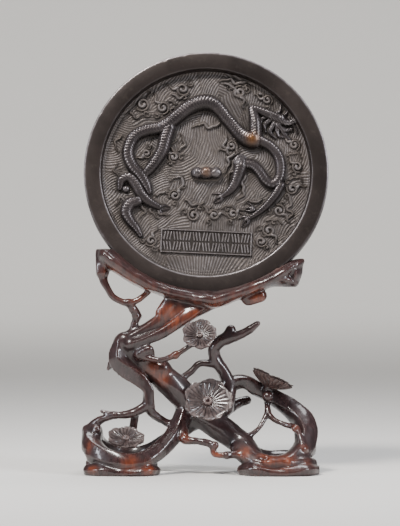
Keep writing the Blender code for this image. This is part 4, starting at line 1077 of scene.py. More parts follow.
def build_body(turns=420):
    """The disc: a profile of its distance from the axis and its level, turned round the axis.
    The front of the rim is a shallow crown between two rounded edges, and the wall inside it
    slopes to the field. Small nicks dent the outer edge."""
    def corner(cx, cz, size, start, end):
        turn = np.radians(np.linspace(start, end, 7))
        return np.column_stack([cx + size * np.cos(turn), cz + size * np.sin(turn)])

    outer, inner = MIRROR_RADIUS, FIELD_RADIUS
    level = np.linspace(inner + 0.75, outer - 0.75, 26)
    crown = RIM_HALF - 0.02 - 0.22 * ((level - (inner + outer) / 2) / (RIM_WIDTH / 2)) ** 2
    under_field = FIELD_LEVEL - 0.7
    profile = np.vstack([
        [(0.001, under_field), (20.0, under_field), (inner - 1.6, under_field),
         (inner - 0.95, FIELD_LEVEL - 0.2), (inner - 0.78, FIELD_LEVEL + 0.6),
         (inner - 0.6, FIELD_LEVEL + 1.6), (inner - 0.38, FIELD_LEVEL + 2.7),
         (inner - 0.12, FIELD_LEVEL + 3.7)],
        corner(inner + 0.55, RIM_HALF - 0.72, 0.5, 172, 95),
        np.column_stack([level, crown]),
        corner(outer - 0.62, RIM_HALF - 0.80, 0.6, 80, 2),
        [(outer, 2.0), (outer, 1.0), (outer, 0.0), (outer, -1.0), (outer, -2.0)],
        corner(outer - 0.62, -RIM_HALF + 0.64, 0.62, -2, -88),
        [(outer - 3.0, -RIM_HALF), (outer - 8.0, -RIM_HALF + 0.04),
         (outer - 20.0, -RIM_HALF + 0.12), (outer - 38.0, -RIM_HALF + 0.2),
         (0.001, -RIM_HALF + 0.25)],
    ])
    turn = 2 * math.pi * np.arange(turns) / turns
    r = np.repeat(profile[:, :1], turns, 1)
    z = np.repeat(profile[:, 1:], turns, 1)
    grid = np.stack([r * np.cos(turn), r * np.sin(turn), z], -1)
    sway = mottle(grid.reshape(-1, 3), 16.0, 41).reshape(r.shape)
    z = z - 0.05 * (1 + sway) * step_up(r, inner - 1, inner + 1) * np.sign(z)
    r = r - 0.03 * (1 + sway) * step_up(r, outer - 1, outer)
    nick = np.zeros(r.shape)
    for angle, wide, deep in NICKS:
        off = (turn - math.radians(angle) + math.pi) % (2 * math.pi) - math.pi
        nick += deep * np.exp(-(off * outer / wide) ** 2)[None, :] * np.exp(
            -((np.hypot(r - outer, z - RIM_HALF + 0.2)) / 0.8) ** 2)
    r = r - nick * 0.8
    z = z - nick * 0.8
    grid = np.stack([r * np.cos(turn), r * np.sin(turn), z], -1)
    # Painted highlight: a bright line along the rim's outer front edge over its upper half, and
    # along its inner lip over its lower half, where light from above would catch them. The nicks
    # are lightened as abrasion.
    lower = step_up(-grid[..., 1] / outer, -0.2, 0.5)
    rim_edge_highlight = np.exp(-((profile[:, :1] - outer + 0.35) ** 2 + (profile[:, 1:] - 3.4) ** 2) / 0.2)
    lip_edge_highlight = np.exp(-((profile[:, :1] - inner - 0.3) ** 2 + (profile[:, 1:] - 3.4) ** 2) / 0.12)
    edge = rim_edge_highlight * (0.95 - 0.75 * lower) + lip_edge_highlight * (0.1 + 0.8 * lower)
    shell = Shell()
    shell.add_tube(grid, wear=np.clip(edge + 1.2 * nick, 0, 1),
                   hollow=np.zeros(r.shape), rub=np.zeros(r.shape))
    return shell


def build_panel(step=0.13, length=41.2, height=11.1, drop=31.4, turn=math.radians(-2.6)):
    """The framed panel: a height over each point of a grid. A rounded border with a groove in
    it stands round a lower ground, on which short slanting strokes lie in two rows, three to a
    place, leaning one way and then the other."""
    nx, ny = int(length / step) + 1, int(height / step) + 1
    ax = np.linspace(-length / 2, length / 2, nx)
    ay = np.linspace(-height / 2, height / 2, ny)
    x, y = np.meshgrid(ax, ay, indexing="ij")
    inward = np.minimum(length / 2 - np.abs(x), height / 2 - np.abs(y))
    band = step_up(inward, -0.05, 0.22) * (1 - step_up(inward, 0.72, 0.98))
    inner_line = np.exp(-((inward - 1.22) / 0.13) ** 2)
    raised = 0.92 * band - 0.22 * np.exp(-((inward - 0.46) / 0.10) ** 2) + 0.3 * inner_line
    columns, rows, border = 9, 2, 1.0
    stroke_gap, stroke_slant, stroke_length = 1.34, math.radians(10), 0.74
    pitch = (length - 2 * border) / columns
    row_height = (height - 2 * border) / rows
    strokes = np.zeros(x.shape)
    for column in range(columns):
        for row in range(rows):
            cx = (column + 0.5 - columns / 2) * pitch
            cy = (row + 0.5 - rows / 2) * row_height
            slant = stroke_slant * (-1) ** (row + column)
            for place in (-stroke_gap, 0.0, stroke_gap):
                along = -(x - cx - place) * math.sin(slant) + (y - cy) * math.cos(slant)
                across = (x - cx - place) * math.cos(slant) + (y - cy) * math.sin(slant)
                beyond = np.clip(np.abs(along) - row_height * stroke_length / 2, 0, None)
                gap = np.hypot(across, beyond)
                strokes = np.maximum(strokes, 1 - step_up(gap, 0.16, 0.42))
    top = 0.30 + np.where(inward > 0.9, 0.5 * strokes, 0.0) + raised * 0.95
    flat = np.stack([x, y, np.zeros_like(x)], -1)
    top = top + 0.04 * mottle(flat, 2.5, 51) + 0.05 * mottle(flat, 9.0, 52)
    top = np.where(inward < step * 0.5, -0.3, top)
    spin = np.array([[math.cos(turn), math.sin(turn)], [-math.sin(turn), math.cos(turn)]])
    flat = np.stack([x, y], -1).reshape(-1, 2) @ spin + np.array([0.0, -drop])
    upper = np.column_stack([flat, FIELD_LEVEL + top.ravel()]).reshape(nx, ny, 3)
    lower = upper.copy()
    lower[..., 2] = RELIEF_FOOT
    ring = np.concatenate([lower[:, :1], upper, lower[:, -1:]], axis=1)[:, ::-1]
    # The raised strokes and border are painted lighter, partly as abrasion and partly as painted
    # highlight, and the low ground darker.
    shine = np.maximum(strokes * (inward > 0.9), step_up(band, 0.7, 1.0))
    worn_and_lit = np.pad(shine, ((0, 0), (1, 1)))[:, ::-1]
    dark = np.pad(1 - step_up(top, 0.35, 0.7), ((0, 0), (1, 1)), constant_values=1)[:, ::-1]
    shell = Shell()
    shell.add_tube(ring, wear=worn_and_lit * 0.34, hollow=dark * 0.8, rub=np.zeros_like(worn_and_lit))
    return shell


def below_relief(points):
    """Distance below the level where the relief pieces end."""
    return RELIEF_FOOT - points[:, 2]


def cord_bore(points):
    """Distance into the knob's cord hole, a round bore that runs up the mirror."""
    return 1.2 - np.hypot(points[:, 0], points[:, 2] - FIELD_LEVEL - 2.2)


# The knob's balls: place along it, height and length, all as shares of the knob's own.
KNOB_BALLS = [(0, 1.0, 0.44), (-0.58, 0.72, 0.42), (0.58, 0.72, 0.42)]


def build_knob(step=0.2):
    """The knob: three balls fused side by side, the middle one tallest, bored for a cord."""
    block = Carving((-8.5, -4.5, FIELD_LEVEL - 2.2), (8.5, 4.5, FIELD_LEVEL + 7.4), step)
    reach, half, tallest, sink = 7.0, 2.8, 6.4, 1.7
    for place, height, length in KNOB_BALLS:
        rise = tallest * height
        tall = (rise + sink) / 2
        block.ball((place * reach, 0, FIELD_LEVEL + rise - tall - 0.1),
                   (reach * length, half, tall), soft=0.5)
    places = block.places()
    block.field += (0.10 * mottle(places, 3.5, 61)).reshape(block.size).astype(np.float32)
    cut = np.maximum(cord_bore(places), below_relief(places)).reshape(block.size)
    points, quads = block.skin(np.maximum(block.field, cut).astype(np.float32))
    points = settled(points, [block.read, cord_bore, below_relief], step)
    level = points[:, 2]
    high = step_up(level, FIELD_LEVEL + 2.6, FIELD_LEVEL + 6.0)
    shell = Shell()
    # Lighter towards the top of the knob, and darkened towards its base by painted shade where it
    # meets the field.
    shell.add(points, quads, wear=0.32 * step_up(level, FIELD_LEVEL + 2.4, FIELD_LEVEL + 4.2),
              hollow=1 - step_up(level, FIELD_LEVEL, FIELD_LEVEL + 2.0),
              rub=0.55 * high * np.exp(-(points[:, 0] / 2.6) ** 2))
    return shell


def build_dragon():
    """The dragon's scaled body and limbs, with its claws, haunch and shoulder."""
    shell = Shell()
    for path, radii, spine in DRAGON:
        sides = 44 if max(radii) > 2.6 else 32
        lift = 1.0 if max(radii) > 3.5 else 0.8
        add_relief_tube(shell, relief_rows(path, radii, lift), 0.22, sides, spine, RUBBED)
    for rows in claw_rows():
        add_relief_tube(shell, rows, 0.3, 12)
    for u, v, radius in (HAUNCH, SHOULDER):
        spot = [(u - 0.1, v), (u, v), (u + 0.1, v)]
        add_relief_tube(shell, relief_rows(spot, (radius, radius), 0.2), 0.1, 30)
    add_relief_tube(shell, haunch_rows(), 0.25, 14)
    return shell


def build_clouds():
    """The rolled clouds and the wisps of flame."""
    shell = Shell()
    for rows in cloud_curls():
        add_relief_tube(shell, rows, 0.34, 12)
    for rows in wisp_rows():
        add_relief_tube(shell, rows, 0.3, 12)
    return shell


def build_head(step=0.22):
    """The dragon's head: skull, snout, open jaw, horns, brow, eye, whiskers and mane, fused."""
    low = np.array([23.0, 12.5, 0]) * RELIEF_UNIT + (0, 0, FIELD_LEVEL - 1.2)
    high = np.array([42.5, 33.0, 0]) * RELIEF_UNIT + (0, 0, FIELD_LEVEL + 4.6)
    block = Carving(low, high, step)
    for (u, v), radii, lift in HEAD_BALLS:
        block.ball((u * RELIEF_UNIT, v * RELIEF_UNIT, FIELD_LEVEL + lift), radii, soft=0.5)
    for path, *radii in HEAD_LIMBS:
        rows = relief_rows(path, radii)
        rows[:, 2] += FIELD_LEVEL + 0.25
        block.limb(rows, soft=0.4, sides=5, facet=0.15)
    for (u, v, lift), radii, soft in HEAD_CUTS:
        block.ball((u * RELIEF_UNIT, v * RELIEF_UNIT, FIELD_LEVEL + lift), radii, soft, cut=True)
    places = block.places()
    strands = 0.07 * np.sin(places[:, 0] * 5.0 + places[:, 1] * 3.2
                            + 1.5 * mottle(places, 5.0, 71))
    block.field += strands.reshape(block.size).astype(np.float32)
    under = below_relief(places).reshape(block.size)
    whole = np.maximum(block.field, under).astype(np.float32)
    points, quads = block.skin(whole)
    points = settled(points, [block.read, below_relief], step)
    solid = (whole < 0).astype(np.float32)
    fine = block.read(points, blurred(solid, 3))
    shell = Shell()
    shell.add(points, quads, wear=np.clip((0.5 - fine) * 4.0, 0, 1)
              * step_up(points[:, 2], FIELD_LEVEL + 0.8, FIELD_LEVEL + 2.4),
              hollow=np.clip((fine - 0.42) * 4.0, 0, 1), rub=0.0)
    return shell


# Materials

class Nodes:
    """Small helper that places and links shader nodes in a tree."""

    def __init__(self, tree):
        self.tree = tree
        self.column = 0

    def put(self, kind, **settings):
        """A node of that kind, with its settings and named or numbered inputs filled."""
        node = self.tree.nodes.new(kind)
        self.column += 1
        node.location = (-1500 + 190 * (self.column % 9), -240 * (self.column // 9))
        inputs = settings.pop("inputs", {})
        for name, value in settings.items():
            setattr(node, name, value)
        for name, value in inputs.items():
            socket = node.inputs[name]
            if isinstance(value, bpy.types.NodeSocket):
                self.tree.links.new(value, socket)
            else:
                socket.default_value = value
        return node

    def math(self, kind, first, second=0.0, clamp=False):
        """A Math node's value."""
        return self.put("ShaderNodeMath", operation=kind, use_clamp=clamp,
                        inputs={0: first, 1: second}).outputs[0]

    def scaled(self, value, times, plus):
        """A value times a number, plus a number."""
        return self.put("ShaderNodeMath", operation="MULTIPLY_ADD",
                        inputs={0: value, 1: times, 2: plus}).outputs[0]

    def mix(self, share, first, second):
        """A colour mix, by share from the first to the second."""
        return self.put("ShaderNodeMix", data_type="RGBA",
                        inputs={0: share, 6: first, 7: second}).outputs[2]

    def ramp(self, value, stops):
        """A colour ramp with stops of place and colour."""
        node = self.put("ShaderNodeValToRGB", inputs={0: value})
        band = node.color_ramp
        band.elements[0].position, band.elements[0].color = stops[0]
        band.elements[1].position, band.elements[1].color = stops[-1]
        for place, colour in stops[1:-1]:
            band.elements.new(place).color = colour
        return node.outputs[0]

    def noise(self, where, scale, detail=4.0, rough=0.55, distort=0.0):
        """A noise texture's value."""
        return self.put("ShaderNodeTexNoise", inputs={
            "Vector": where, "Scale": scale, "Detail": detail, "Roughness": rough,
            "Distortion": distort}).outputs[0]

    def value(self, name):
        """A named value stored on the piece's points."""
        return self.put("ShaderNodeAttribute", attribute_name=name).outputs["Fac"]


def grey(value):
    """A grey colour."""
    return (value, value, value, 1.0)


def dimmed(tone, share):
    """A colour times a share, and opaque."""
    return tuple(c * share for c in tone[:3]) + (1.0,)


def new_group(name, inputs, outputs):
    """A shader node group with named sockets; returns it with its input and output nodes."""
    group = bpy.data.node_groups.new(name, "ShaderNodeTree")
    for label, kind in inputs:
        group.interface.new_socket(label, in_out="INPUT", socket_type=kind)
    for label, kind in outputs:
        group.interface.new_socket(label, in_out="OUTPUT", socket_type=kind)
    nodes = Nodes(group)
    return group, nodes, nodes.put("NodeGroupInput"), nodes.put("NodeGroupOutput")


def mottling_group():
    """Uneven age: broad clouds and fine specks of tone, and a little unevenness of gloss."""
    group, nodes, given, out = new_group(
        "uneven_age", [("Place", "NodeSocketVector"), ("Scale", "NodeSocketFloat")],
        [("Clouds", "NodeSocketFloat"), ("Specks", "NodeSocketFloat"),
         ("Grain", "NodeSocketFloat")])
    place, scale = given.outputs["Place"], given.outputs["Scale"]
    broad = nodes.noise(place, scale, 5.0, 0.6, 0.4)
    fine = nodes.noise(place, nodes.math("MULTIPLY", scale, 9.0), 3.0, 0.6)
    grain = nodes.noise(place, nodes.math("MULTIPLY", scale, 34.0), 2.0, 0.5)
    clouds = nodes.ramp(broad, [(0.34, grey(0.0)), (0.68, grey(1.0))])
    specks = nodes.ramp(fine, [(0.56, grey(0.0)), (0.70, grey(1.0))])
    nodes.tree.links.new(clouds, out.inputs["Clouds"])
    nodes.tree.links.new(specks, out.inputs["Specks"])
    nodes.tree.links.new(grain, out.inputs["Grain"])
    return group


def edge_wear_and_highlight_group():
    """Abraded edges and painted highlights: the piece's own edge value, broken up by noise so
    that it comes in patches.
    """
    group, nodes, given, out = new_group(
        "edge_wear_and_highlight", [("Place", "NodeSocketVector"), ("Edge", "NodeSocketFloat"),
                       ("Scale", "NodeSocketFloat"), ("Amount", "NodeSocketFloat")],
        [("Worn", "NodeSocketFloat")])
    patch = nodes.noise(given.outputs["Place"], given.outputs["Scale"], 4.0, 0.6)
    broken = nodes.scaled(patch, 1.1, -0.1)
    worn_and_lit = nodes.math("MULTIPLY", given.outputs["Edge"], broken)
    worn_and_lit = nodes.math("MULTIPLY", worn_and_lit, given.outputs["Amount"], clamp=True)
    nodes.tree.links.new(worn_and_lit, out.inputs["Worn"])
    return group


def principled(name):
    """An empty material with its Principled shader; returns the material, helper and shader."""
    material = bpy.data.materials.new(name)
    material.use_nodes = True
    nodes = Nodes(material.node_tree)
    return material, nodes, material.node_tree.nodes["Principled BSDF"]


def bronze_material(name, look, ground, rough, scale, grain, speckle):
    """Old bronze: brown patina that is darker in hollows and under painted shade, and greyer
    and brighter on abraded high points and under painted highlights, with warm metal showing
    where hands have rubbed it."""
    material, nodes, shader = principled(name)
    place = nodes.put("ShaderNodeTexCoord").outputs["Object"]
    age = nodes.put("ShaderNodeGroup", node_tree=bpy.data.node_groups["uneven_age"],
                    inputs={"Place": place, "Scale": scale})
    edges = nodes.put("ShaderNodeGroup", node_tree=bpy.data.node_groups["edge_wear_and_highlight"],
                      inputs={"Place": place, "Edge": nodes.value("wear"),
                              "Scale": 260.0, "Amount": 1.5})
    clouds, specks, fine = (age.outputs[i] for i in range(3))
    base = nodes.mix(clouds, dimmed(ground, 0.55), ground)
    base = nodes.mix(nodes.math("MULTIPLY", specks, speckle), base, tuple(look.speck_colour))
    # Darker in the hollows with patina, and with painted shade on the relief's undersides, on the
    # ground round it and at the knob's base.
    base = nodes.mix(nodes.math("MULTIPLY", nodes.value("hollow"), 0.85), base,
                     tuple(look.recess_and_shade_colour))
    # Lighter on abraded edges and high points, and with painted highlights on the rim's edges, the
    # dragon's scales and beads and the ridges of the wave lines.
    base = nodes.mix(edges.outputs[0], base, tuple(look.wear_and_highlight_colour))
    rub = nodes.math("MULTIPLY", nodes.value("rub"), nodes.math("ADD", fine, 0.35), clamp=True)
    base = nodes.mix(rub, base, tuple(look.rubbed_colour))
    links = material.node_tree.links
    links.new(base, shader.inputs["Base Color"])
    gloss = nodes.scaled(clouds, 0.10, rough)
    gloss = nodes.math("SUBTRACT", gloss, nodes.math("MULTIPLY", edges.outputs[0], 0.12))
    gloss = nodes.math("ADD", gloss, nodes.math("MULTIPLY", nodes.value("hollow"), 0.18))
    links.new(gloss, shader.inputs["Roughness"])
    shader.inputs["Metallic"].default_value = look.metal
    shader.inputs["Specular IOR Level"].default_value = 0.4
    bump = nodes.put("ShaderNodeBump", inputs={"Strength": 0.35, "Distance": 0.00012 * grain,
                                               "Height": fine})
    links.new(bump.outputs[0], shader.inputs["Normal"])
    return material


def wood_material(name, look, plain, edge_colour, edge_share, gloss_shift):
    """Dark polished hardwood: straight grain along the block, red where it is polished on
    edges and where hands have held it, near black in hollows, under a thin lacquer. The
    blackness in hollows is painted shade, and on the petals the edge colour is a painted
    highlight."""
    material, nodes, shader = principled(name)
    place = nodes.put("ShaderNodeTexCoord").outputs["Object"]
    drawn = nodes.put("ShaderNodeMapping", inputs={"Vector": place,
                                                   "Rotation": (0.0, math.radians(38), 0.0),
                                                   "Scale": (1.0, 1.0, 0.14)}).outputs[0]
    grain = nodes.noise(drawn, 520.0, 5.0, 0.62, 0.5)
    figure = nodes.noise(drawn, 110.0, 3.0, 0.5, 1.2)
    speckle = nodes.noise(drawn, 1500.0, 2.0, 0.5)
    pores = nodes.ramp(speckle, [(0.60, grey(0.0)), (0.72, grey(1.0))])
    age = nodes.put("ShaderNodeGroup", node_tree=bpy.data.node_groups["uneven_age"],
                    inputs={"Place": place, "Scale": 42.0})
    edges = nodes.put("ShaderNodeGroup", node_tree=bpy.data.node_groups["edge_wear_and_highlight"],
                      inputs={"Place": place, "Edge": nodes.value("edge"),
                              "Scale": 150.0, "Amount": 1.6})
    streak = nodes.ramp(grain, [(0.35, grey(0.0)), (0.65, grey(1.0))])
    body = nodes.mix(streak, tuple(look.dark_colour), plain)
    body = nodes.mix(nodes.math("MULTIPLY", figure, 0.5), body, tuple(look.dark_colour))
    warm = nodes.math("MULTIPLY", nodes.value("warm"), nodes.math("ADD", figure, 0.45), clamp=True)
    red = nodes.mix(streak, tuple(look.red_colour), tuple(look.polished_colour))
    body = nodes.mix(nodes.math("MULTIPLY", warm, 0.8), body, red)
    body = nodes.mix(nodes.math("MULTIPLY", edges.outputs[0], edge_share), body, edge_colour)
    # Near black in recesses: painted shade.
    deep = nodes.math("MULTIPLY", nodes.value("hollow"), 0.8, clamp=True)
    body = nodes.mix(deep, body, tuple(look.dark_colour))
    body = nodes.mix(nodes.math("MULTIPLY", pores, 0.45), body, tuple(look.pore_colour))
    links = material.node_tree.links
    links.new(body, shader.inputs["Base Color"])
    gloss = nodes.scaled(age.outputs["Clouds"], 0.14, look.roughness + gloss_shift)
    gloss = nodes.math("ADD", gloss, nodes.math("MULTIPLY", nodes.value("hollow"), 0.22))
    links.new(gloss, shader.inputs["Roughness"])
    shader.inputs["Specular IOR Level"].default_value = 0.42
    shader.inputs["Coat Weight"].default_value = look.lacquer
    shader.inputs["Coat Roughness"].default_value = 0.10
    height = nodes.math("SUBTRACT", grain, nodes.math("MULTIPLY", pores, 0.6))
    bump = nodes.put("ShaderNodeBump", inputs={"Strength": 0.30, "Distance": 0.00010,
                                               "Height": height})
    links.new(bump.outputs[0], shader.inputs["Normal"])
    return material


# Bronzes: their part of the settings, then size of mottling, depth of grain and specks.
BRONZES = {
    "relief_bronze": ("field", 60.0, 1.0, 0.30),
    "dragon_bronze": ("dragon", 80.0, 0.7, 0.15),
    "rim_bronze": ("rim", 34.0, 0.5, 0.10),
}
# Woods: their colour and their edges' colour, how strongly edges show, and added roughness.
WOODS = {
    "stand_wood": ("wood_colour", "polished_colour", 0.10, 0.0),
    "flower_wood": ("flower_colour", "petal_edge_colour", 0.5, 0.06),
}


def finish(name):
    """The named bronze or wood, made the first time that it is asked for."""
    if "uneven_age" not in bpy.data.node_groups:
        mottling_group()
        edge_wear_and_highlight_group()
    if name in bpy.data.materials:
        return bpy.data.materials[name]
    if name in BRONZES:
        part, scale, grain, speckle = BRONZES[name]
        look = bpy.context.scene.mirror_look
        ground = tuple(getattr(look, part + "_colour"))
        rough = getattr(look, part + "_roughness")
        return bronze_material(name, look, ground, rough, scale, grain, speckle)
    plain, edge, edge_share, gloss_shift = WOODS[name]
    look = bpy.context.scene.stand_look
    return wood_material(name, look, tuple(getattr(look, plain)), tuple(getattr(look, edge)),
                         edge_share, gloss_shift)


# Settings

def colour(label, text, default):
    """A colour property."""
    return bpy.props.FloatVectorProperty(name=label, description=text, subtype="COLOR", size=4,
                                         min=0.0, max=1.0, default=(*default, 1.0))


def share(label, text, default):
    """A property from nought to one."""
    return bpy.props.FloatProperty(name=label, description=text, subtype="FACTOR",
                                   default=default, min=0.0, max=1.0)


def distance(label, text, default, low, high):
    """A property in millimetres."""
    return bpy.props.FloatProperty(name=label, description=text + ", in millimetres",
                                   default=default, min=low, max=high)


class MirrorLook(bpy.types.PropertyGroup):
    """Sizes and colours of the bronze."""
    wave_pitch: distance("Wave pitch", "Distance between wave lines", 1.12, 0.8, 3.0)
    wave_depth: distance("Wave depth", "Depth of the wave lines", 0.26, 0.0, 0.6)
    field_step: distance("Field grid", "Spacing of the field's points", 0.28, 0.26, 1.0)
    field_colour: colour("Field", "Patina on the field, clouds and panel", (0.086, 0.070, 0.062))
    dragon_colour: colour("Dragon", "Patina on the dragon and knob", (0.046, 0.036, 0.036))
    rim_colour: colour("Rim", "Patina on the rim and back", (0.037, 0.027, 0.024))
    # Patina in the hollows, and the colour of the painted shade.
    recess_and_shade_colour: colour("Hollows", "Patina in the hollows", (0.010, 0.0075, 0.0065))
    # Abraded bronze, and the colour of the painted highlights.
    wear_and_highlight_colour: colour("Worn", "Bronze on worn high points", (0.34, 0.31, 0.32))
    rubbed_colour: colour("Rubbed", "Warm bronze that hands have rubbed", (0.16, 0.066, 0.018))
    speck_colour: colour("Specks", "Dust and specks in the patina", (0.12, 0.10, 0.08))
    field_roughness: share("Field roughness", "Roughness of the field, clouds and panel", 0.46)
    dragon_roughness: share("Dragon roughness", "Roughness of the dragon and knob", 0.26)
    rim_roughness: share("Rim roughness", "Roughness of the rim and back", 0.36)
    metal: share("Metal", "How metallic the patina is", 0.55)


class StandLook(bpy.types.PropertyGroup):
    """Sizes and colours of the wood."""
    carving_step: distance("Carving grid", "Spacing of the stand's points", 0.58, 0.57, 2.0)
    dark_colour: colour("Dark wood", "Wood in shade and hollows", (0.016, 0.008, 0.008))
    wood_colour: colour("Wood", "Plain wood", (0.047, 0.025, 0.026))
    # The petals' paler colour is partly painted sheen of the lacquer on them.
    flower_colour: colour("Flowers", "Paler wood of the petals", (0.108, 0.076, 0.070))
    # Painted highlight on the ribs and rims of the petals and the top of the seed cup, where the
    # lacquer would shine.
    petal_edge_colour: colour("Petal edges", "Worn ribs and rims of petals", (0.30, 0.245, 0.230))
    red_colour: colour("Red wood", "Polished wood between the streaks", (0.082, 0.016, 0.007))
    polished_colour: colour("Polished wood", "Brightest streaks", (0.27, 0.056, 0.014))
    pore_colour: colour("Pores", "Pores in the wood", (0.004, 0.002, 0.0015))
    roughness: share("Roughness", "Roughness under the lacquer", 0.22)
    lacquer: share("Lacquer", "Weight of the lacquer", 0.6)


class StageLook(bpy.types.PropertyGroup):
    """The floor, lights and camera."""
    floor_colour: colour("Floor", "Colour of the floor and sweep", (0.72, 0.70, 0.67))
    light_power: bpy.props.FloatProperty(
        name="Light", description="Share of the lights' usual power", default=1.0, min=0.0,
        max=5.0)
    camera_distance: bpy.props.FloatProperty(
        name="Camera distance", description="Distance from the camera to the mirror",
        default=1.6, min=0.3, max=5.0, unit="LENGTH")
    camera_height: bpy.props.FloatProperty(
        name="Camera height", description="How far the camera looks down",
        default=math.radians(1.5), min=0.0, max=1.5, subtype="ANGLE", unit="ROTATION")
    frame_height: bpy.props.FloatProperty(
        name="Frame height", description="Height of the picture at the object",
        default=0.2358, min=0.1, max=1.0, unit="LENGTH")


# The studio, in metres. Each lamp: place, the point that it faces, size, watts, tint, and how
# wide it throws in degrees.

SUBJECT = (0.0, 0.0, 0.10)
LAMPS = {
    "key_light": ((-0.26, -0.46, 0.82), SUBJECT, (0.26, 0.18), 2.9, (1.0, 0.97, 0.93), 90),
    "top_light": ((0.10, 0.30, 0.95), SUBJECT, (0.60, 0.35), 1.7, (0.97, 0.98, 1.0), 90),
    "right_light": ((0.72, -0.42, 0.42), SUBJECT, (0.12, 0.50), 2.1, (0.90, 0.94, 1.0), 90),
    "left_light": ((-0.74, -0.36, 0.32), SUBJECT, (0.12, 0.50), 1.0, (0.88, 0.92, 1.0), 90),
    "sweep_light": ((0.0, 1.30, 1.90), (0.0, 2.4, 0.0), (2.00, 0.60), 24.0, (1.0, 0.99, 0.97),
                    120),
}
AIR_COLOUR = (0.80, 0.85, 0.92, 1.0)
AIR_STRENGTH = 0.16
CAMERA_AIM = (-0.0019, 0.0, 0.0939)
SENSOR_HEIGHT = 36.0
# The sweep in millimetres: its front end, the end of its flat part, the radius of its turn, the
# height of its wall, and half its width.
SWEEP_FRONT = -3000
SWEEP_FLAT = 2000
SWEEP_TURN = 900
SWEEP_TOP = 4000
SWEEP_SIDE = 3500


def make_sweep(look):
    """The floor and wall: flat behind the object, then a quarter circle up, then upright."""
    material, nodes, shader = principled("studio_floor")
    place = nodes.put("ShaderNodeTexCoord").outputs["Object"]
    soft = nodes.noise(place, 3.0, 3.0)
    pale = tuple(look.floor_colour)
    tone = nodes.mix(soft, dimmed(pale, 0.94), pale)
    material.node_tree.links.new(tone, shader.inputs["Base Color"])
    shader.inputs["Roughness"].default_value = 0.85
    turn = np.linspace(0, math.pi / 2, 24)
    curve = np.column_stack([SWEEP_FLAT + SWEEP_TURN * np.sin(turn),
                             SWEEP_TURN - SWEEP_TURN * np.cos(turn)])
    profile = np.vstack([[(SWEEP_FRONT, 0)], curve, [(SWEEP_FLAT + SWEEP_TURN, SWEEP_TOP)]])
    across = np.linspace(-SWEEP_SIDE, SWEEP_SIDE, 9)
    shape = (len(profile), len(across))
    grid = np.stack([np.broadcast_to(across, shape), np.broadcast_to(profile[:, :1], shape),
                     np.broadcast_to(profile[:, 1:], shape)], -1)
    shell = Shell()
    shell.add(grid.reshape(-1, 3), joined_rows(*shape))
    shell.make("studio_sweep", material)


def make_air(scene):
    """The faint light that comes from all round."""
    world = bpy.data.worlds.new("studio_air")
    scene.world = world
    world.use_nodes = True
    air = world.node_tree.nodes["Background"]
    air.inputs["Color"].default_value = AIR_COLOUR
    air.inputs["Strength"].default_value = AIR_STRENGTH


def make_lamps(scene, power_share):
    """The studio's soft boxes."""
    for name, (spot, target, size, power, tint, spread) in LAMPS.items():
        light = bpy.data.lights.new(name, "AREA")
        light.shape = "RECTANGLE"
        light.size, light.size_y = size
        light.energy = power * power_share
        light.color = tint
        light.spread = math.radians(spread)
        lamp = bpy.data.objects.new(name, light)
        lamp.location = spot
        aim = Vector(target) - Vector(spot)
        lamp.rotation_euler = aim.to_track_quat("-Z", "Y").to_euler()
        scene.collection.objects.link(lamp)


def make_camera(scene, look):
    """The camera, in front of the mirror and a little above it. Its lens is the sensor's height
    times the distance over the height of the picture there."""
    camera = bpy.data.cameras.new("camera")
    camera.sensor_fit = "VERTICAL"
    camera.sensor_height = SENSOR_HEIGHT
    camera.lens = SENSOR_HEIGHT * look.camera_distance / look.frame_height
    eye = bpy.data.objects.new("camera", camera)
    away = Vector((0.0, -math.cos(look.camera_height), math.sin(look.camera_height)))
    eye.location = Vector(CAMERA_AIM) + away * look.camera_distance
    eye.rotation_euler = (math.pi / 2 - look.camera_height, 0.0, 0.0)
    scene.collection.objects.link(eye)
    scene.camera = eye


# Operators

class MIRROR_OT_body(bpy.types.Operator):
    """Make the mirror's disc, rim and back"""
    bl_idname = "mirror.body"
    bl_label = "Mirror body"

    def execute(self, context):
        shell = build_body()
        piece = shell.make("mirror_body", finish("rim_bronze"), "bronze", on_mirror, crisp=50)
        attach(piece, "root")
        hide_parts("bronze_mirror")
        return {"FINISHED"}


class MIRROR_OT_field(bpy.types.Operator):
    """Make the sunk field with its wave lines"""
    bl_idname = "mirror.field"
    bl_label = "Wave field"

    def execute(self, context):
        look = context.scene.mirror_look
        shell = build_field(look.field_step, look.wave_pitch, look.wave_depth)
        piece = shell.make("mirror_field", finish("relief_bronze"), "bronze", on_mirror)
        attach(piece, "root")
        return {"FINISHED"}


class MIRROR_OT_dragon(bpy.types.Operator):
    """Make the dragon's body and limbs, and its head"""
    bl_idname = "mirror.dragon"
    bl_label = "Dragon"

    def execute(self, context):
        body = build_dragon().make("mirror_dragon", finish("dragon_bronze"), "bronze", on_mirror)
        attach(body, "root")
        head = build_head().make("mirror_dragon_head", finish("dragon_bronze"), "bronze",
                                 on_mirror)
        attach(head, "root")
        return {"FINISHED"}


class MIRROR_OT_clouds(bpy.types.Operator):
    """Make the rolled clouds and the wisps of flame"""
    bl_idname = "mirror.clouds"
    bl_label = "Clouds"

    def execute(self, context):
        shell = build_clouds()
        piece = shell.make("mirror_clouds", finish("relief_bronze"), "bronze", on_mirror)
        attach(piece, "root")
        return {"FINISHED"}


class MIRROR_OT_fittings(bpy.types.Operator):
    """Make the knob and the framed panel of strokes"""
    bl_idname = "mirror.fittings"
    bl_label = "Knob and panel"

    def execute(self, context):
        knob = build_knob().make("mirror_knob", finish("dragon_bronze"), "bronze", on_mirror,
                                 crisp=60)
        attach(knob, "root")
        panel = build_panel().make("mirror_panel", finish("relief_bronze"), "bronze", on_mirror,
                                   crisp=60)
        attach(panel, "root")
        return {"FINISHED"}


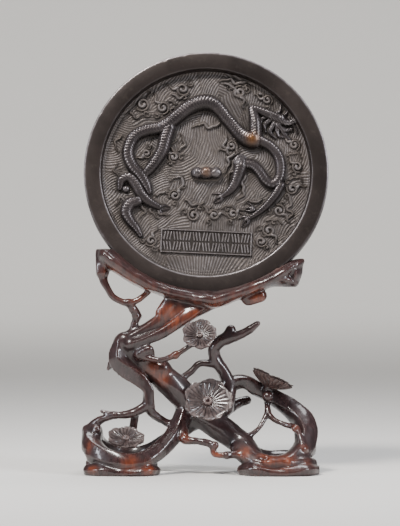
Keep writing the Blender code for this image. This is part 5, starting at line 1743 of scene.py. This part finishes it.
class STAND_OT_wood(bpy.types.Operator):
    """Carve the stand"""
    bl_idname = "stand.wood"
    bl_label = "Carved stand"

    def execute(self, context):
        step = context.scene.stand_look.carving_step
        block, whole, points, quads = carve_stand(step)
        shell = Shell()
        shell.add(points, quads, **stand_values(block, whole, points, step))
        piece = shell.make("stand_wood", finish("stand_wood"), "hardwood", crisp=42,
                           keep_in=(STAND_LOW, STAND_HIGH))
        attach(piece, "root")
        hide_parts("carved_wood_stand")
        return {"FINISHED"}


class STAND_OT_flowers(bpy.types.Operator):
    """Make the four plum flowers"""
    bl_idname = "stand.flowers"
    bl_label = "Flowers"

    def execute(self, context):
        for seed, (name, (middle, facing, radius, rise)) in enumerate(FLOWERS.items()):
            shell = Shell()
            flower(shell, middle, facing, radius, rise, seed)
            piece = shell.make("stand_" + name, finish("flower_wood"), "hardwood", crisp=50,
                               keep_in=(STAND_LOW, STAND_HIGH))
            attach(piece, "root")
        return {"FINISHED"}


class STAGE_OT_set(bpy.types.Operator):
    """Set the floor, the lights and the camera"""
    bl_idname = "stage.set"
    bl_label = "Stage"

    def execute(self, context):
        look = context.scene.stage_look
        make_sweep(look)
        make_air(context.scene)
        make_lamps(context.scene, look.light_power)
        make_camera(context.scene, look)
        return {"FINISHED"}


class VIEW3D_PT_mirror(bpy.types.Panel):
    """The pieces and settings of the mirror and its stand"""
    bl_label = "Bronze mirror"
    bl_space_type = "VIEW_3D"
    bl_region_type = "UI"
    bl_category = "Mirror"

    def draw(self, context):
        layout = self.layout
        for group in ("mirror_look", "stand_look", "stage_look"):
            settings = getattr(context.scene, group)
            box = layout.box()
            for name in settings.__annotations__:
                box.prop(settings, name)
        for step in STEPS:
            layout.operator(step)


CLASSES = (MirrorLook, StandLook, StageLook, MIRROR_OT_body, MIRROR_OT_field,
           MIRROR_OT_dragon, MIRROR_OT_clouds, MIRROR_OT_fittings, STAND_OT_wood,
           STAND_OT_flowers, STAGE_OT_set, VIEW3D_PT_mirror)
STEPS = ("mirror.body", "mirror.field", "mirror.dragon", "mirror.clouds", "mirror.fittings",
         "stand.wood", "stand.flowers", "stage.set")


def register():
    """Register the classes and hang the settings on the scene."""
    for cls in CLASSES:
        bpy.utils.register_class(cls)
    bpy.types.Scene.mirror_look = bpy.props.PointerProperty(type=MirrorLook)
    bpy.types.Scene.stand_look = bpy.props.PointerProperty(type=StandLook)
    bpy.types.Scene.stage_look = bpy.props.PointerProperty(type=StageLook)


def unregister():
    """Take the settings and classes away again."""
    del bpy.types.Scene.stage_look
    del bpy.types.Scene.stand_look
    del bpy.types.Scene.mirror_look
    for cls in reversed(CLASSES):
        bpy.utils.unregister_class(cls)


def main():
    """Make every piece round the frame."""
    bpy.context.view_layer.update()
    register()
    for step in STEPS:
        group, name = step.split(".")
        getattr(getattr(bpy.ops, group), name)()


if __name__ == "__main__":
    main()
